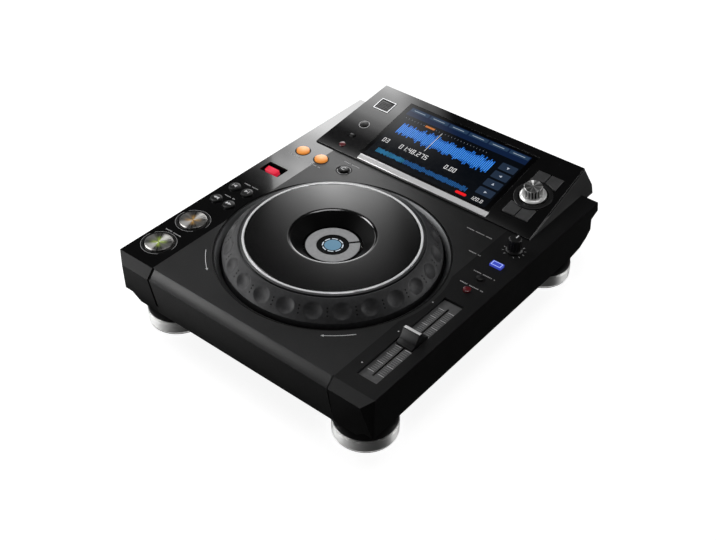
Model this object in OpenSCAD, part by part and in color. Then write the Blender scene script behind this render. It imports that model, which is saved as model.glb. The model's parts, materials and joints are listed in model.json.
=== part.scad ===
// Tabletop media player for DJs: a low black console on four round feet, with a
// large dimpled jog wheel, a raised touch screen pod, transport buttons down the
// left, a tempo fader and small controls down the right, and sockets at the back.
// Millimetres. X to the right, Y to the back, Z up, origin on the table under the
// middle of the outer size.

/* [Body] */
// Width over the two side covers
body_w = 306; // [290:1:340]
// Depth from the nose to the back of the screen pod
body_d = 385.6; // [375:0.1:400]
// Height of the flat deck above the table
deck_z = 84; // [80:0.5:92]
// Height of the side covers' lower edge above the table
base_z = 38.5; // [36:0.5:40]
// Wall thickness of the deck
deck_t = 3; // [2.5:0.1:3.5]
// Wall thickness of the sides and the front
wall = 2.5; // [2:0.1:3]
// Width of each side cover, measured along the deck
wing_w = 44; // [42:0.5:45]
// How far the nose stands out in front of the deck's front edge
nose_out = 7.6; // [5:0.1:10]
// Height of the sloping facet between the deck and the nose
nose_drop = 9; // [7:0.5:12]
// Backward lean of the front face, in degrees from upright
front_rake = 10.5; // [6:0.5:13]
// Width that the cut corner takes off the front, at the nose
corner_cut = 9.5; // [6:0.5:12]
// Height of the front apron's lower edge above the table
apron_z = 29.5; // [28:0.5:33]
// Half width of the apron's straight lower edge
apron_half_w = 133.5; // [130:0.5:136]
// Distance from the deck's front edge to its back edge
deck_len = 357; // [354:0.5:360]
// Thickness of the steel floor pan
pan_t = 1.6; // [1.2:0.1:2]

/* [Feet] */
// Radius of the bright skirt round each foot
foot_r = 30.3; // [26:0.1:30.6]
// Sideways distance of each foot from the middle
foot_x = 117.8; // [114:0.1:118]
// Distance of the front feet behind the deck's front edge
foot_front = 33.2; // [32:0.1:60]
// Distance between the front and the back feet
foot_span = 288.6; // [240:0.1:290]
// Height of the bright skirt's top above the table
skirt_top = 15; // [12:0.5:18]
// Thickness of the rubber pad that shows under the skirt
pad_t = 1.2; // [1:0.1:2]

/* [Jog wheel] */
// Distance of the wheel's centre behind the deck's front edge
jog_back = 127.9; // [127:0.1:128.5]
// Radius of the dimpled ring at the deck
jog_r = 104; // [102:0.5:104.5]
// Height of the wheel's rim above the deck
jog_h = 18.3; // [16:0.1:20]
// Outer radius of the thin white ring
white_r = 84.6; // [82:0.1:85.5]
// Width of the thin white ring
white_w = 2.2; // [1.5:0.1:3]
// Number of finger dimples
dimples = 24; // [18:1:26]
// Radius of each dimple's mouth
dimple_r = 8; // [6:0.1:8.5]
// Depth of each dimple
dimple_depth = 2; // [1:0.1:2.2]
// Radius of the well cut in the deck
well_r = 112.8; // [112:0.1:113.5]
// Radius of the open dish in the top plate
dish_r = 40.5; // [38:0.5:46]
// Depth of the fixed centre display below the white ring
dish_depth = 12; // [10:0.5:13]
// How far the top plate goes down when it is pressed
plate_travel = 0.3; // [0.2:0.05:0.35]
// Teeth on the wheel's gear
gear_teeth = 80; // [80:8:88]
// Teeth on the encoder's pinion
pinion_teeth = 16; // [16:1:18]
// Tooth module of the gear pair
gear_module = 1.25; // [1.2:0.01:1.3]

/* [Transport buttons] */
// Distance of the left column's centre line from the case's left side
left_col_x = 20.2; // [19:0.1:22]
// Radius of the play and cue buttons
big_button_r = 14.2; // [12:0.1:15]
// Play button's distance behind the deck's front edge
play_back = 30.3; // [28:0.1:34]
// Cue button's distance behind the deck's front edge
cue_back = 75.3; // [70:0.1:80]
// Radius of the four small round buttons
small_button_r = 6; // [5:0.1:6.5]
// Sideways distance between small buttons of a pair
small_pitch_x = 17; // [15:0.5:18]
// Distance of the front pair behind the deck's front edge
search_back = 115.7; // [112:0.1:118]
// Distance of the back pair behind the deck's front edge
track_back = 141.9; // [138:0.1:145]
// Distance of the loop buttons behind the deck's front edge
loop_back = 236.4; // [232:0.1:238]
// Radius of the two lit loop buttons
loop_r = 6.9; // [6:0.1:8]
// Radius of the reloop button
reloop_r = 4.7; // [4:0.1:6]
// How far the deck's buttons stand proud of the deck
button_proud = 1.8; // [1:0.1:3]
// Travel of every push button
button_travel = 0.8; // [0.5:0.1:1]

/* [Direction lever] */
// Distance of the lever's pivot behind the deck's front edge
lever_back = 190.7; // [188:0.1:192]
// Width of the lever's lit paddle
lever_w = 15; // [12:0.5:17]
// Thickness of the lever's paddle
lever_t = 7; // [6:0.5:8]
// Lean of the lever at either end of its travel, in degrees
lever_lean = 12; // [8:1:12]
// Size of the lever's slot in the deck, across and along
lever_slot = [25, 17]; // [17:0.5:26]

/* [Tempo fader] */
// Distance of the right column's centre line from the case's right side
right_col_x = 21.5; // [20.5:0.1:23]
// Travel of the fader cap from end to end
fader_travel = 100; // [80:1:104]
// Distance of the fader's middle behind the deck's front edge
fader_back = 78; // [77:0.1:80]
// Width of the fader's recess
recess_w = 21; // [20:0.5:23]
// Length of the fader's recess
recess_len = 125; // [124:0.5:128]
// Width of the fader cap
cap_w = 17.5; // [15:0.5:18.5]
// Length of the fader cap
cap_len = 23; // [18:0.5:23.5]
// Height of the fader cap
cap_h = 12.8; // [9:0.1:14]

/* [Right-hand controls] */
// Distance of the speed knob behind the deck's front edge
speed_back = 237; // [236:0.1:240]
// Radius of the speed knob's grip
speed_r = 6.2; // [5:0.1:7]
// Height of the speed knob above the deck
speed_h = 14.5; // [10:0.5:16]
// Distance of the lit mode button behind the deck's front edge
mode_back = 207.9; // [205:0.1:210]
// Size of the lit mode button, across and along
mode_size = [12.5, 7.6]; // [6:0.1:14]
// Distance of the range button behind the deck's front edge
range_back = 182.2; // [180:0.1:184]
// Distance of the hold button behind the deck's front edge
hold_back = 161; // [159:0.1:163]
// Radius of the range and hold buttons
hold_r = 3.8; // [3:0.1:5]

/* [Screen pod] */
// Distance of the pod's front edge behind the deck's front edge
pod_back = 259.5; // [259:0.1:262]
// Height of the pod's front lip above the deck
pod_lip = 1.5; // [1:0.1:2.5]
// Depth of the pod's sloping top, measured level
pod_run = 110; // [108:0.5:111]
// Rise of the pod's sloping top
pod_rise = 21.5; // [20:0.1:23]
// Half width of the pod where it meets the deck
pod_half_w = 134.5; // [133:0.1:136]
// Inward lean of the pod's sides, in degrees from upright
pod_lean = 19.6; // [12:0.1:22]
// Thickness of the pod's top panel
panel_t = 2; // [1.6:0.1:2.4]
// Width of the touch glass
glass_w = 163; // [158:0.5:164]
// Depth of the touch glass along the slope
glass_len = 92; // [88:0.5:93]
// Distance from the pod's lip to the glass along the slope
glass_from = 9.2; // [8.8:0.1:11]
// Depth of the bright strip in front of the glass
strip_len = 6.8; // [4:0.1:7]

/* [Pod controls] */
// Distance of the pod's left column from the middle
pod_left_x = 106; // [105.5:0.1:107]
// Distance of the selector's axis from the middle
selector_x = 105; // [104.5:0.1:106]
// Selector's distance from the pod's lip along the slope
selector_s = 51.5; // [50:0.1:53]
// Radius of the selector's flange
selector_flange_r = 13.3; // [12:0.1:13.5]
// Radius of the selector's knurled grip
selector_r = 9.5; // [8:0.1:10.5]
// Height of the selector above the pod's panel
selector_h = 13.5; // [12:0.5:18]
// Radius of the raised ring round the selector
selector_ring_r = 19.5; // [17:0.1:20]
// Width of the block of four buttons round the selector
browse_w = 29; // [27:0.5:30]
// Length of the block of four buttons round the selector
browse_len = 67; // [64:0.5:68]
// Outer size of the lit frame round the memory port, across and along
usb_size = [20, 18]; // [17:0.1:21]

/* [Back] */
// Height of the rear panel's socket line above the table
socket_z = 55; // [53:0.5:56]
// How far the pod's back stands out behind the deck
pod_overhang = 21; // [19:0.5:23]

/* [Clearances] */
// Gap round every button in its hole
hole_gap = 0.35; // [0.2:0.05:0.5]
// Gap between a button's flange and the wall that stops it
seat_gap = 0.2; // [0.1:0.05:0.3]
// Radial clearance of the running shaft fits
run_gap = 0.05; // [0.02:0.01:0.1]
// Gap between fixed neighbours that only stand side by side
part_gap = 0.3; // [0.2:0.05:0.4]

/* [Hidden] */
$fn = 96;
eps = 0.01;
big = 1000;

// Frame of the body: the nose touches -body_d/2 and the pod's back body_d/2.
nose_y = -body_d / 2;
deck_y = nose_y + nose_out;
deck_end = deck_y + deck_len;
half_w = body_w / 2;
left_x = left_col_x - half_w;
right_x = half_w - right_col_x;
seam_x = half_w - wing_w;
nose_z = deck_z - nose_drop;
under_z = deck_z - deck_t;
pan_top = base_z + pan_t;

// Front face: leans back below the nose.
function face_y(z) = nose_y + (nose_z - z) * tan(front_rake);
apron_y = face_y(apron_z);
front_t = wall / cos(front_rake);

// The back of the side covers: a rim under the deck's edge, a step in, and a
// faceted lower corner.
rim_out = 3;
rim_h = 11.6;
step_in = 11.3;
step_drop = 5;
waist_h = 13.4;
waist_out = 1.9;
tuck = [[7, 7], [11.2, 6.2], [15, 2.3]];
rim_y = deck_end + rim_out;
rim_z = deck_z - rim_h;
step_y = rim_y - step_in;
step_z = rim_z - step_drop;
waist_y = step_y + waist_out;
waist_z = step_z - waist_h;
tuck1 = [waist_y - tuck[0][0], waist_z - tuck[0][1]];
tuck2 = [tuck1[0] - tuck[1][0], tuck1[1] - tuck[1][1]];
tuck3 = [tuck2[0] - tuck[2][0], base_z];

function unit(v) = v / norm(v);
// Moves every edge of an anticlockwise outline inwards by d.
function inset(pts, d) = let (n = len(pts))
    [for (i = [0:n - 1])
        let (a = unit(pts[i] - pts[(i + n - 1) % n]),
             b = unit(pts[(i + 1) % n] - pts[i]),
             na = [-a[1], a[0]],
             nb = [-b[1], b[0]])
        pts[i] + (na + nb) * d / (1 + na * nb)];

side_outline = [[face_y(base_z), base_z], tuck3, tuck2, tuck1, [waist_y, waist_z],
    [step_y, step_z], [rim_y, rim_z], [deck_end, deck_z], [deck_y, deck_z],
    [nose_y, nose_z]];
plan_outline = [[-half_w, deck_y], [-half_w + corner_cut, nose_y],
    [half_w - corner_cut, nose_y], [half_w, deck_y], [half_w, rim_y + 1],
    [-half_w, rim_y + 1]];

// Extrudes a Y-Z outline from x0 to x1.
module along_x(x0, x1) {
    translate([x0, 0, 0]) rotate([90, 0, 90]) linear_extrude(x1 - x0) children();
}

// Extrudes an X-Z outline from y0 to y1.
module along_y(y0, y1) {
    translate([0, y1, 0]) rotate([90, 0, 0]) linear_extrude(y1 - y0) children();
}

module box(x, y, z) {
    translate([x[0], y[0], z[0]]) cube([x[1] - x[0], y[1] - y[0], z[1] - z[0]]);
}

module disc(r, z0, z1) {
    translate([0, 0, z0]) cylinder(r = r, h = z1 - z0);
}

// A block with upright rounded corners, centred on x and y.
module pill_block(size, r, z0, z1) {
    union() {
        box([-size[0] / 2 + r, size[0] / 2 - r], [-size[1] / 2, size[1] / 2], [z0, z1]);
        box([-size[0] / 2, size[0] / 2], [-size[1] / 2 + r, size[1] / 2 - r], [z0, z1]);
        for (i = [-1, 1], j = [-1, 1])
            translate([i * (size[0] / 2 - r), j * (size[1] / 2 - r), z0])
                cylinder(r = r, h = z1 - z0, $fn = 32);
    }
}

// ---- Body shells ----

module body_block(d) {
    intersection() {
        along_x(-half_w, half_w) polygon(inset(side_outline, d));
        linear_extrude(deck_z + 1) polygon(inset(plan_outline, d));
    }
}

module apron() {
    step = base_z - apron_z;
    intersection() {
        along_x(-half_w, half_w) polygon([[apron_y, apron_z], [apron_y + front_t, apron_z],
            [face_y(base_z + wall) + front_t, base_z + wall],
            [face_y(base_z + wall), base_z + wall]]);
        along_y(nose_y - 1, deck_y + wall + 5) polygon([[-apron_half_w, apron_z],
            [apron_half_w, apron_z], [apron_half_w + step, base_z],
            [apron_half_w + step, base_z + wall], [-apron_half_w - step, base_z + wall],
            [-apron_half_w - step, base_z]]);
    }
}

// The hollow inside the shells, open below for the floor pan.
module body_hollow() {
    difference() {
        body_block(wall);
        box([-half_w, half_w], [nose_y, rim_y + 1], [under_z, deck_z]);
    }
    box([-half_w + wall, half_w - wall], [face_y(base_z) + front_t, tuck3[0]],
        [base_z - 1, base_z + wall + 1]);
}

jog_y = deck_y + jog_back;
// The deck is open under the pod, but for a rim on all sides.
window_x = pod_half_w - 13.5;
window_rim = [4, 11.5];
window_y = [deck_y + pod_back + window_rim[0], deck_end - window_rim[1]];
stud_r = 3;
board_t = 1.6;
board_z = under_z - 11;
board_top = board_z + board_t;

module deck_window() {
    box([-window_x, window_x], window_y, [under_z - 1, deck_z + 1]);
}

// Width of the land that the centre cover keeps all round the well.
land_w = 3.2;

module well_land() {
    translate([0, jog_y, 0]) disc(well_r + land_w, under_z - 1, deck_z + 1);
}

module whole_shell() {
    difference() {
        union() {
            body_block(0);
            apron();
        }
        body_hollow();
        translate([0, jog_y, 0]) disc(well_r, under_z - 1, deck_z + 1);
        deck_window();
    }
}

// The end of the shell on one side of the centre cover.
module wing_shell(side) {
    intersection() {
        whole_shell();
        difference() {
            box([side > 0 ? seam_x : -half_w, side > 0 ? half_w : -seam_x], [-big, big], [0, big]);
            well_land();
        }
    }
}

// Studs under the deck that hold the button boards.
stud_in = 9;
loop_gap_x = 25;
reloop_gap_x = 31;
left_studs = [for (y = [play_back - 22, cue_back + 22, search_back + 40])
    [-half_w + stud_in, y]];
loop_studs = [for (x = [left_x + loop_gap_x / 2 - 0.5,
    left_x + loop_gap_x + reloop_gap_x / 2 + 1.5]) [x, loop_back]];
right_studs = [for (y = [hold_back - 10, mode_back + 12, speed_back + 9])
    [half_w - stud_in + 1, y]];

module studs(places) {
    for (p = places)
        translate([p[0], deck_y + p[1], 0]) disc(stud_r, board_top, under_z + eps);
}

module button_hole(p, r) {
    translate([p[0], deck_y + p[1], 0]) disc(r + hole_gap, under_z - 1, deck_z + 1);
}

play_at = [left_x, play_back];
cue_at = [left_x, cue_back];
pair_x = [left_x - small_pitch_x / 2, left_x + small_pitch_x / 2];
search_at = [for (x = pair_x) [x, search_back]];
track_at = [for (x = pair_x) [x, track_back]];
loop_in_at = [left_x, loop_back];
loop_out_at = [left_x + loop_gap_x, loop_back];
reloop_at = [loop_out_at[0] + reloop_gap_x, loop_back];
speed_at = [right_x, speed_back];
mode_at = [right_x, mode_back];
range_at = [right_x - 1, range_back];
hold_at = [right_x - 1, hold_back];

// The pivot of the direction lever lies under its slot.
lever_z = under_z - 9;
lever_proud = 1;
saddle_r = under_z - lever_z - 0.4;
ear_t = 2.5;
pivot_r = 1.5;

module lever_ears() {
    for (side = [-1, 1])
        translate([left_x + side * (lever_slot[0] / 2 + ear_t / 2), deck_y + lever_back, 0])
            difference() {
                box([-ear_t / 2, ear_t / 2], [-4, 4], [lever_z - 4, under_z + eps]);
                translate([-ear_t, 0, lever_z]) rotate([0, 90, 0])
                    cylinder(r = pivot_r + run_gap, h = 2 * ear_t);
            }
}

// Counterbore for the dark ring round each large or lit button.
ring_gap = 3.6;
loop_ring_gap = 1.7;
ring_depth = 0.6;

module ring_sink(p, r) {
    translate([p[0], deck_y + p[1], 0]) disc(r, deck_z - ring_depth, deck_z + 1);
}

screw_r = 1.5;
screw_head_r = 3;
screw_len = 9;
// Screws hold the floor pan to posts in the two side covers.
screw_pitch = 53;
screw_from_foot = 39;
screw_y = concat([for (i = [0:3]) foot_front + screw_from_foot + i * screw_pitch],
    [foot_front + foot_span - screw_from_foot + 1]);
post_r = 3.6;
post_h = 14;
post_in = 9;
post_rib_t = 2.4;
post_x = half_w - post_in;

module posts(side) {
    for (y = screw_y)
        translate([side * post_x, deck_y + y, 0])
            difference() {
                union() {
                    disc(post_r, pan_top, pan_top + post_h);
                    box([min(0, side * (post_in - wall + eps)),
                         max(0, side * (post_in - wall + eps))],
                        [-post_rib_t / 2, post_rib_t / 2], [pan_top + 3, pan_top + post_h]);
                }
                disc(screw_r + run_gap, 0, pan_top + screw_len + 1);
            }
}

module left_cover() color([0.05, 0.05, 0.055]) {
    difference() {
        wing_shell(-1);
        button_hole(play_at, big_button_r);
        button_hole(cue_at, big_button_r);
        ring_sink(play_at, big_button_r + ring_gap);
        ring_sink(cue_at, big_button_r + ring_gap);
        for (p = concat(search_at, track_at)) {
            button_hole(p, small_button_r);
            ring_sink(p, small_button_r + 1);
        }
        button_hole(loop_in_at, loop_r);
        ring_sink(loop_in_at, loop_r + loop_ring_gap);
        button_hole(loop_out_at, loop_r);
        ring_sink(loop_out_at, loop_r + loop_ring_gap);
        translate([left_x, deck_y + lever_back, 0])
            pill_block(lever_slot, 1.5, under_z - 1, deck_z + 1);
    }
    studs(left_studs);
    studs([loop_studs[0]]);
    lever_ears();
    posts(-1);
}

fader_y = deck_y + fader_back;
plate_t = 1.5;
plate_margin = 2;

module right_cover() color([0.05, 0.05, 0.055]) {
    difference() {
        wing_shell(1);
        translate([right_x, fader_y, 0])
            box([-recess_w / 2, recess_w / 2], [-recess_len / 2, recess_len / 2],
                [under_z - 1, deck_z + 1]);
        button_hole(speed_at, speed_shaft_r);
        button_hole(range_at, hold_r);
        button_hole(hold_at, hold_r);
        translate([mode_at[0], deck_y + mode_at[1], 0])
            pill_block([mode_size[0] + 2 * hole_gap, mode_size[1] + 2 * hole_gap], 1,
                under_z - 1, deck_z + 1);
    }
    studs(right_studs);
    posts(1);
}

// The centre of the case: the deck round the wheel, the front face and the strip
// of deck under the pod. Grooves part its front from the side covers: a wide one on
// the left, where the gloss starts, and a fine one on the right.
seam_groove = [3, 1.4];
groove_d = 1.6;

// Takes the outer layer of the shell's front away between x0 and x1.
module front_groove(x0, x1) {
    difference() {
        box([x0, x1], [nose_y - 1, deck_y + 1.2], [base_z, deck_z + 1]);
        body_block(groove_d);
    }
}

module top_cover() color([0.07, 0.07, 0.075]) {
    difference() {
        intersection() {
            whole_shell();
            union() {
                box([-seam_x, seam_x], [-big, window_y[0]], [0, big]);
                well_land();
            }
        }
        button_hole(loop_out_at, loop_r);
        ring_sink(loop_out_at, loop_r + loop_ring_gap);
        button_hole(reloop_at, reloop_r);
        ring_sink(reloop_at, loop_r + loop_ring_gap);
        front_groove(-seam_x - 1, -seam_x + seam_groove[0]);
        front_groove(seam_x - seam_groove[1], seam_x + 1);
    }
    studs([loop_studs[1]]);
}

// ---- Floor pan ----

pan_y = [face_y(base_z) + front_t + part_gap, tuck3[0] - part_gap];
panel_y = step_y;
pan_hem = [1.2, 1.8];
// Cooling slots between the back feet
vent_pitch = 9;
vent_w = 4;
vent_len = 30;
vents_each_side = 5;
vent_end = deck_end - 42;

module lower_case() color([0.12, 0.12, 0.13]) {
    x = half_w - wall - part_gap;
    difference() {
        union() {
            box([-x, x], pan_y, [base_z, pan_top]);
            box([-seam_x + part_gap, seam_x - part_gap], [pan_y[1] - 1, panel_y],
                [base_z, pan_top]);
            for (side = [-1, 1])
                box([side * x - (side > 0 ? pan_hem[0] : 0), side * x + (side > 0 ? 0 : pan_hem[0])],
                    [pan_y[0] + 20, pan_y[1] - 5], [pan_top - eps, pan_top + pan_hem[1]]);
            for (p = board_posts)
                translate([p[0], p[1], 0]) disc(3, pan_top - eps, board_base);
        }
        for (side = [-1, 1], y = screw_y)
            translate([side * post_x, deck_y + y, 0])
                disc(screw_r + run_gap, base_z - 1, pan_top + 1);
        for (i = [-vents_each_side:vents_each_side])
            box([i * vent_pitch - vent_w / 2, i * vent_pitch + vent_w / 2],
                [vent_end - vent_len, vent_end], [base_z - 1, pan_top + 1]);
    }
}

module case_screws() color([0.2, 0.2, 0.2]) {
    for (side = [-1, 1], y = screw_y)
        translate([side * post_x, deck_y + y, 0])
            difference() {
                union() {
                    disc(screw_head_r, base_z - 1.4, base_z);
                    disc(screw_r, base_z - eps, pan_top + screw_len);
                }
                for (a = [0, 90])
                    rotate([0, 0, a]) box([-1.8, 1.8], [-0.3, 0.3], [base_z - 2, base_z - 0.6]);
            }
}

// ---- Feet ----

foot_places = [for (i = [-1, 1], y = [foot_front, foot_front + foot_span])
    [i * foot_x, deck_y + y]];
column_r = foot_r - 1;
skirt_in_r = foot_r - 4;
groove_z = skirt_top - 2.2;

module at_feet() {
    for (p = foot_places)
        translate([p[0], p[1], 0]) children();
}

module foot_columns() color([0.06, 0.06, 0.06]) {
    at_feet() rotate_extrude()
        polygon([[0, pad_t + 1.8], [skirt_in_r - part_gap, pad_t + 1.8],
            [skirt_in_r - part_gap, skirt_top], [column_r, skirt_top],
            [column_r, base_z - 1.6], [column_r - 0.6, base_z], [0, base_z]]);
}

module foot_skirts() color([0.75, 0.76, 0.77]) {
    at_feet() rotate_extrude()
        polygon([[skirt_in_r, pad_t], [foot_r - 0.8, pad_t], [foot_r, pad_t + 0.8],
            [foot_r, groove_z], [foot_r - 0.9, groove_z + 0.3],
            [foot_r - 0.9, groove_z + 1.3], [foot_r - 0.1, groove_z + 1.6],
            [foot_r - 0.1, skirt_top - 0.3], [foot_r - 0.4, skirt_top],
            [skirt_in_r, skirt_top]]);
}

module foot_pads() color([0.03, 0.03, 0.03]) {
    at_feet() rotate_extrude()
        polygon([[0, 0], [foot_r - 1.2, 0], [foot_r - 0.8, 0.4], [foot_r - 0.8, pad_t],
            [skirt_in_r - part_gap, pad_t], [skirt_in_r - part_gap, pad_t + 1.8],
            [0, pad_t + 1.8]]);
}

// ---- Jog wheel ----

rim_top = deck_z + jog_h;
well_ring_r = well_r - 0.2;
well_ring_t = 2;
base_top = deck_z - 20;
base_t = 3;
spindle_r = 26;
spindle_bore = 22;
bearing_r = 32;
hub_r = 36;
web_z = base_top + 6;
web_t = 3;
display_z = rim_top - dish_depth;
display_r = 27;
trim_in_r = white_r - white_w;
ledge_z = rim_top - 2.4;
gear_z = web_z - 3.4;
pitch_r = gear_module * gear_teeth / 2;
pinion_r = gear_module * pinion_teeth / 2;
mesh_extra = 0.15;
pinion_at = pitch_r + pinion_r + mesh_extra;
pinion_angle = 225;

module at_jog() {
    translate([0, jog_y, 0]) children();
}

// Chamfered ring that lines the well, hung under the deck by its flange.
module well_ring() color([0.55, 0.56, 0.58]) at_jog() rotate_extrude()
    polygon([[well_ring_r - well_ring_t, base_top], [well_ring_r, base_top],
        [well_ring_r, under_z - 2], [well_r + 2.7, under_z - 2], [well_r + 2.7, under_z],
        [well_ring_r, under_z], [well_ring_r, deck_z - 0.6], [well_ring_r - 1.6, deck_z - 0.6],
        [jog_r + 2.5, deck_z - 5], [jog_r + 2.5, deck_z - 6.5],
        [well_ring_r - well_ring_t, deck_z - 3.5]]);

// Fixed plate under the wheel with the hollow spindle and the pinion's pin.
module jog_base() color([0.3, 0.3, 0.32]) at_jog() {
    difference() {
        union() {
            disc(well_ring_r, base_top - base_t, base_top);
            disc(28.5, base_top - eps, web_z + 0.3);
            disc(spindle_r, base_top - eps, display_z - 4.3);
            rotate([0, 0, pinion_angle]) translate([pinion_at, 0, 0]) {
                disc(3.5, base_top - eps, gear_z - 0.2);
                disc(2, base_top - eps, gear_z + 3.2);
            }
        }
        disc(spindle_bore, 0, big);
        for (a = [30:60:330])
            rotate([0, 0, a]) translate([80, 0, 0]) disc(9, 0, base_top + 1);
    }
}

module centre_display() color([0.04, 0.04, 0.05]) at_jog() {
    disc(spindle_bore - run_gap, display_z - 8, display_z - 4);
    difference() {
        disc(display_r, display_z - 4.3, display_z - 0.5);
        disc(5.6, display_z - 1.1, big);
    }
}

// Open ring that points to the playing position.
mark_out_r = 25.7;
mark_in_r = 15.5;
mark_angle = 50;
mark_slit = 2.6;

module display_mark() color([0.5, 0.5, 0.5]) at_jog()
    difference() {
        disc(mark_out_r, display_z - 0.5, display_z);
        disc(mark_in_r, 0, big);
        rotate([0, 0, mark_angle]) box([0, 40], [-mark_slit / 2, mark_slit / 2], [0, big]);
    }

// The grip slope of the wheel: a shallow arc from the deck up to the collar.
slope_foot = [jog_r, deck_z];
slope_head = [white_r + 4.4, rim_top - 1.9];
slope_bulge = 1.3;
slope_steps = 6;
slope_dir = unit(slope_head - slope_foot);
slope_out = [slope_dir[1], -slope_dir[0]];
function slope_point(t) = slope_foot + (slope_head - slope_foot) * t
    + slope_out * slope_bulge * 4 * t * (1 - t);
ring_skirt_z = web_z - 3.5;
ring_t = 3;

// Radius of the ball that cuts a dimple of the given mouth and depth.
ball_r = (dimple_r * dimple_r + dimple_depth * dimple_depth) / (2 * dimple_depth);
ball_at = slope_point(0.47) + slope_out * (ball_r - dimple_depth);

module jog_ring() color([0.12, 0.12, 0.125]) at_jog()
    difference() {
        rotate_extrude($fn = 180)
            polygon(concat(
                [[bearing_r, web_z], [jog_r - ring_t, web_z], [jog_r - ring_t, ring_skirt_z],
                 [jog_r, ring_skirt_z]],
                [for (i = [0:slope_steps]) slope_point(i / slope_steps)],
                [[slope_head[0] - 0.9, slope_head[1]], [slope_head[0] - 0.9, ledge_z - 1],
                 [white_r + 2.1, ledge_z - 1], [white_r + 2.1, rim_top - 0.8],
                 [white_r, rim_top - 0.4], [white_r, ledge_z],
                 [white_r - 13, ledge_z], [white_r - 13, ledge_z - 2.5],
                 [slope_head[0] - 4.2, ledge_z - 2.5], [jog_r - ring_t, deck_z - 2],
                 [jog_r - ring_t, web_z + web_t], [hub_r, web_z + web_t],
                 [hub_r, web_z + 10], [bearing_r, web_z + 10]]));
        for (i = [0:dimples - 1])
            rotate([0, 0, i * 360 / dimples]) translate([ball_at[0], 0, ball_at[1]])
                sphere(r = ball_r, $fn = 48);
    }

module jog_trim() color([0.85, 0.85, 0.86]) at_jog() rotate_extrude($fn = 180)
    polygon([[trim_in_r, ledge_z], [white_r - 0.02, ledge_z], [white_r - 0.02, rim_top - 0.4],
        [white_r - 0.5, rim_top], [trim_in_r + 0.5, rim_top], [trim_in_r, rim_top - 0.4]]);

module jog_bearing() color([0.6, 0.6, 0.62]) at_jog()
    difference() {
        disc(bearing_r - 0.02, web_z + 0.5, web_z + 9.5);
        disc(spindle_r + run_gap, 0, big);
        // Shallow grooves that part the two races
        for (z = [web_z, web_z + 9])
            difference() {
                disc(30, z, z + 1);
                disc(28.2, z - 1, z + 2);
            }
    }

// Half angle, in degrees, of a tooth at radius r.
function tooth_half(teeth, m, r, slack) = let (p = m * teeth / 2, b = p * cos(20),
        ar = r > b ? acos(b / r) : 0)
    90 / teeth + (tan(20) - tan(ar)) * 180 / PI - 20 + ar - slack / p * 90 / PI;

// Outline of a spur gear, each flank drawn through its root, pitch and tip points.
function gear_outline(teeth, m, slack, turn) = let (p = m * teeth / 2, root = p - 1.2 * m,
        tip = p + 0.9 * m)
    [for (i = [0:teeth - 1])
        for (k = [[root, -1], [p, -1], [tip, -1], [tip, 1], [p, 1], [root, 1]])
            let (a = turn + i * 360 / teeth + k[1] * tooth_half(teeth, m, k[0], slack))
            k[0] * [cos(a), sin(a)]];
gear_slack = 0.3;

// The wheel's gear has a tooth on the line to the pinion, and the pinion a gap.
module jog_gear() color([0.85, 0.85, 0.8]) at_jog()
    difference() {
        translate([0, 0, gear_z]) linear_extrude(web_z - gear_z)
            polygon(gear_outline(gear_teeth, gear_module, gear_slack, pinion_angle));
        disc(pitch_r - 7, 0, big);
    }

module encoder_gear() color([0.9, 0.9, 0.9]) at_jog()
    rotate([0, 0, pinion_angle]) translate([pinion_at, 0, 0]) difference() {
        translate([0, 0, gear_z]) linear_extrude(3)
            polygon(gear_outline(pinion_teeth, gear_module, gear_slack,
                180 + 180 / pinion_teeth));
        disc(2 + run_gap, 0, big);
    }

// Pressable top plate with the open dish in its middle.
plate_r = trim_in_r - 0.4;
plate_low = ledge_z + plate_travel + 0.1;
dish_low_r = display_r + 1.2;

module jog_plate() color([0.04, 0.04, 0.04]) at_jog() rotate_extrude($fn = 180)
    polygon([[dish_low_r, display_z - 1.4], [dish_r - 1.2, plate_low - 0.3],
        [plate_r, plate_low], [plate_r, rim_top - 0.5], [plate_r - 0.4, rim_top - 0.3],
        [dish_r, rim_top - 0.7], [dish_low_r, display_z]]);

// ---- Buttons on the deck ----

flange_t = 1.2;
flange_w = 1.3;
stem_r = 2;
edge = 0.5;
switch_top = board_top + 3;
stem_z = switch_top + button_travel + 0.15;

// A round cap with a slightly dished top, a stop flange under the wall and a stem.
module cap(r, wall_top, wall_low, proud, dish, stem_low) rotate_extrude()
    polygon([[0, stem_low], [stem_r, stem_low], [stem_r, wall_low - seat_gap - flange_t],
        [r + flange_w, wall_low - seat_gap - flange_t], [r + flange_w, wall_low - seat_gap],
        [r, wall_low - seat_gap], [r, wall_top + proud - edge],
        [r - edge, wall_top + proud], [r * 0.5, wall_top + proud - dish * 0.8],
        [0, wall_top + proud - dish]]);

module deck_button(p, r, dish) {
    translate([p[0], deck_y + p[1], 0]) cap(r, deck_z, under_z, button_proud, dish, stem_z);
}

module play_button() color([0.78, 0.78, 0.76]) deck_button(play_at, big_button_r, 0.5);
module cue_button() color([0.78, 0.76, 0.74]) deck_button(cue_at, big_button_r, 0.5);
module search_back_button() color([0.08, 0.08, 0.08])
    deck_button(search_at[0], small_button_r, -0.6);
module search_on_button() color([0.08, 0.08, 0.08])
    deck_button(search_at[1], small_button_r, -0.6);
module track_back_button() color([0.08, 0.08, 0.08])
    deck_button(track_at[0], small_button_r, -0.6);
module track_on_button() color([0.08, 0.08, 0.08])
    deck_button(track_at[1], small_button_r, -0.6);
module loop_in_button() color([1, 0.6, 0.25]) deck_button(loop_in_at, loop_r, -0.5);
module loop_out_button() color([1, 0.6, 0.25]) deck_button(loop_out_at, loop_r, -0.5);
module reloop_button() color([0.06, 0.06, 0.06]) deck_button(reloop_at, reloop_r, -0.4);
module range_button() color([0.06, 0.06, 0.06]) deck_button(range_at, hold_r, -0.4);
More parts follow.
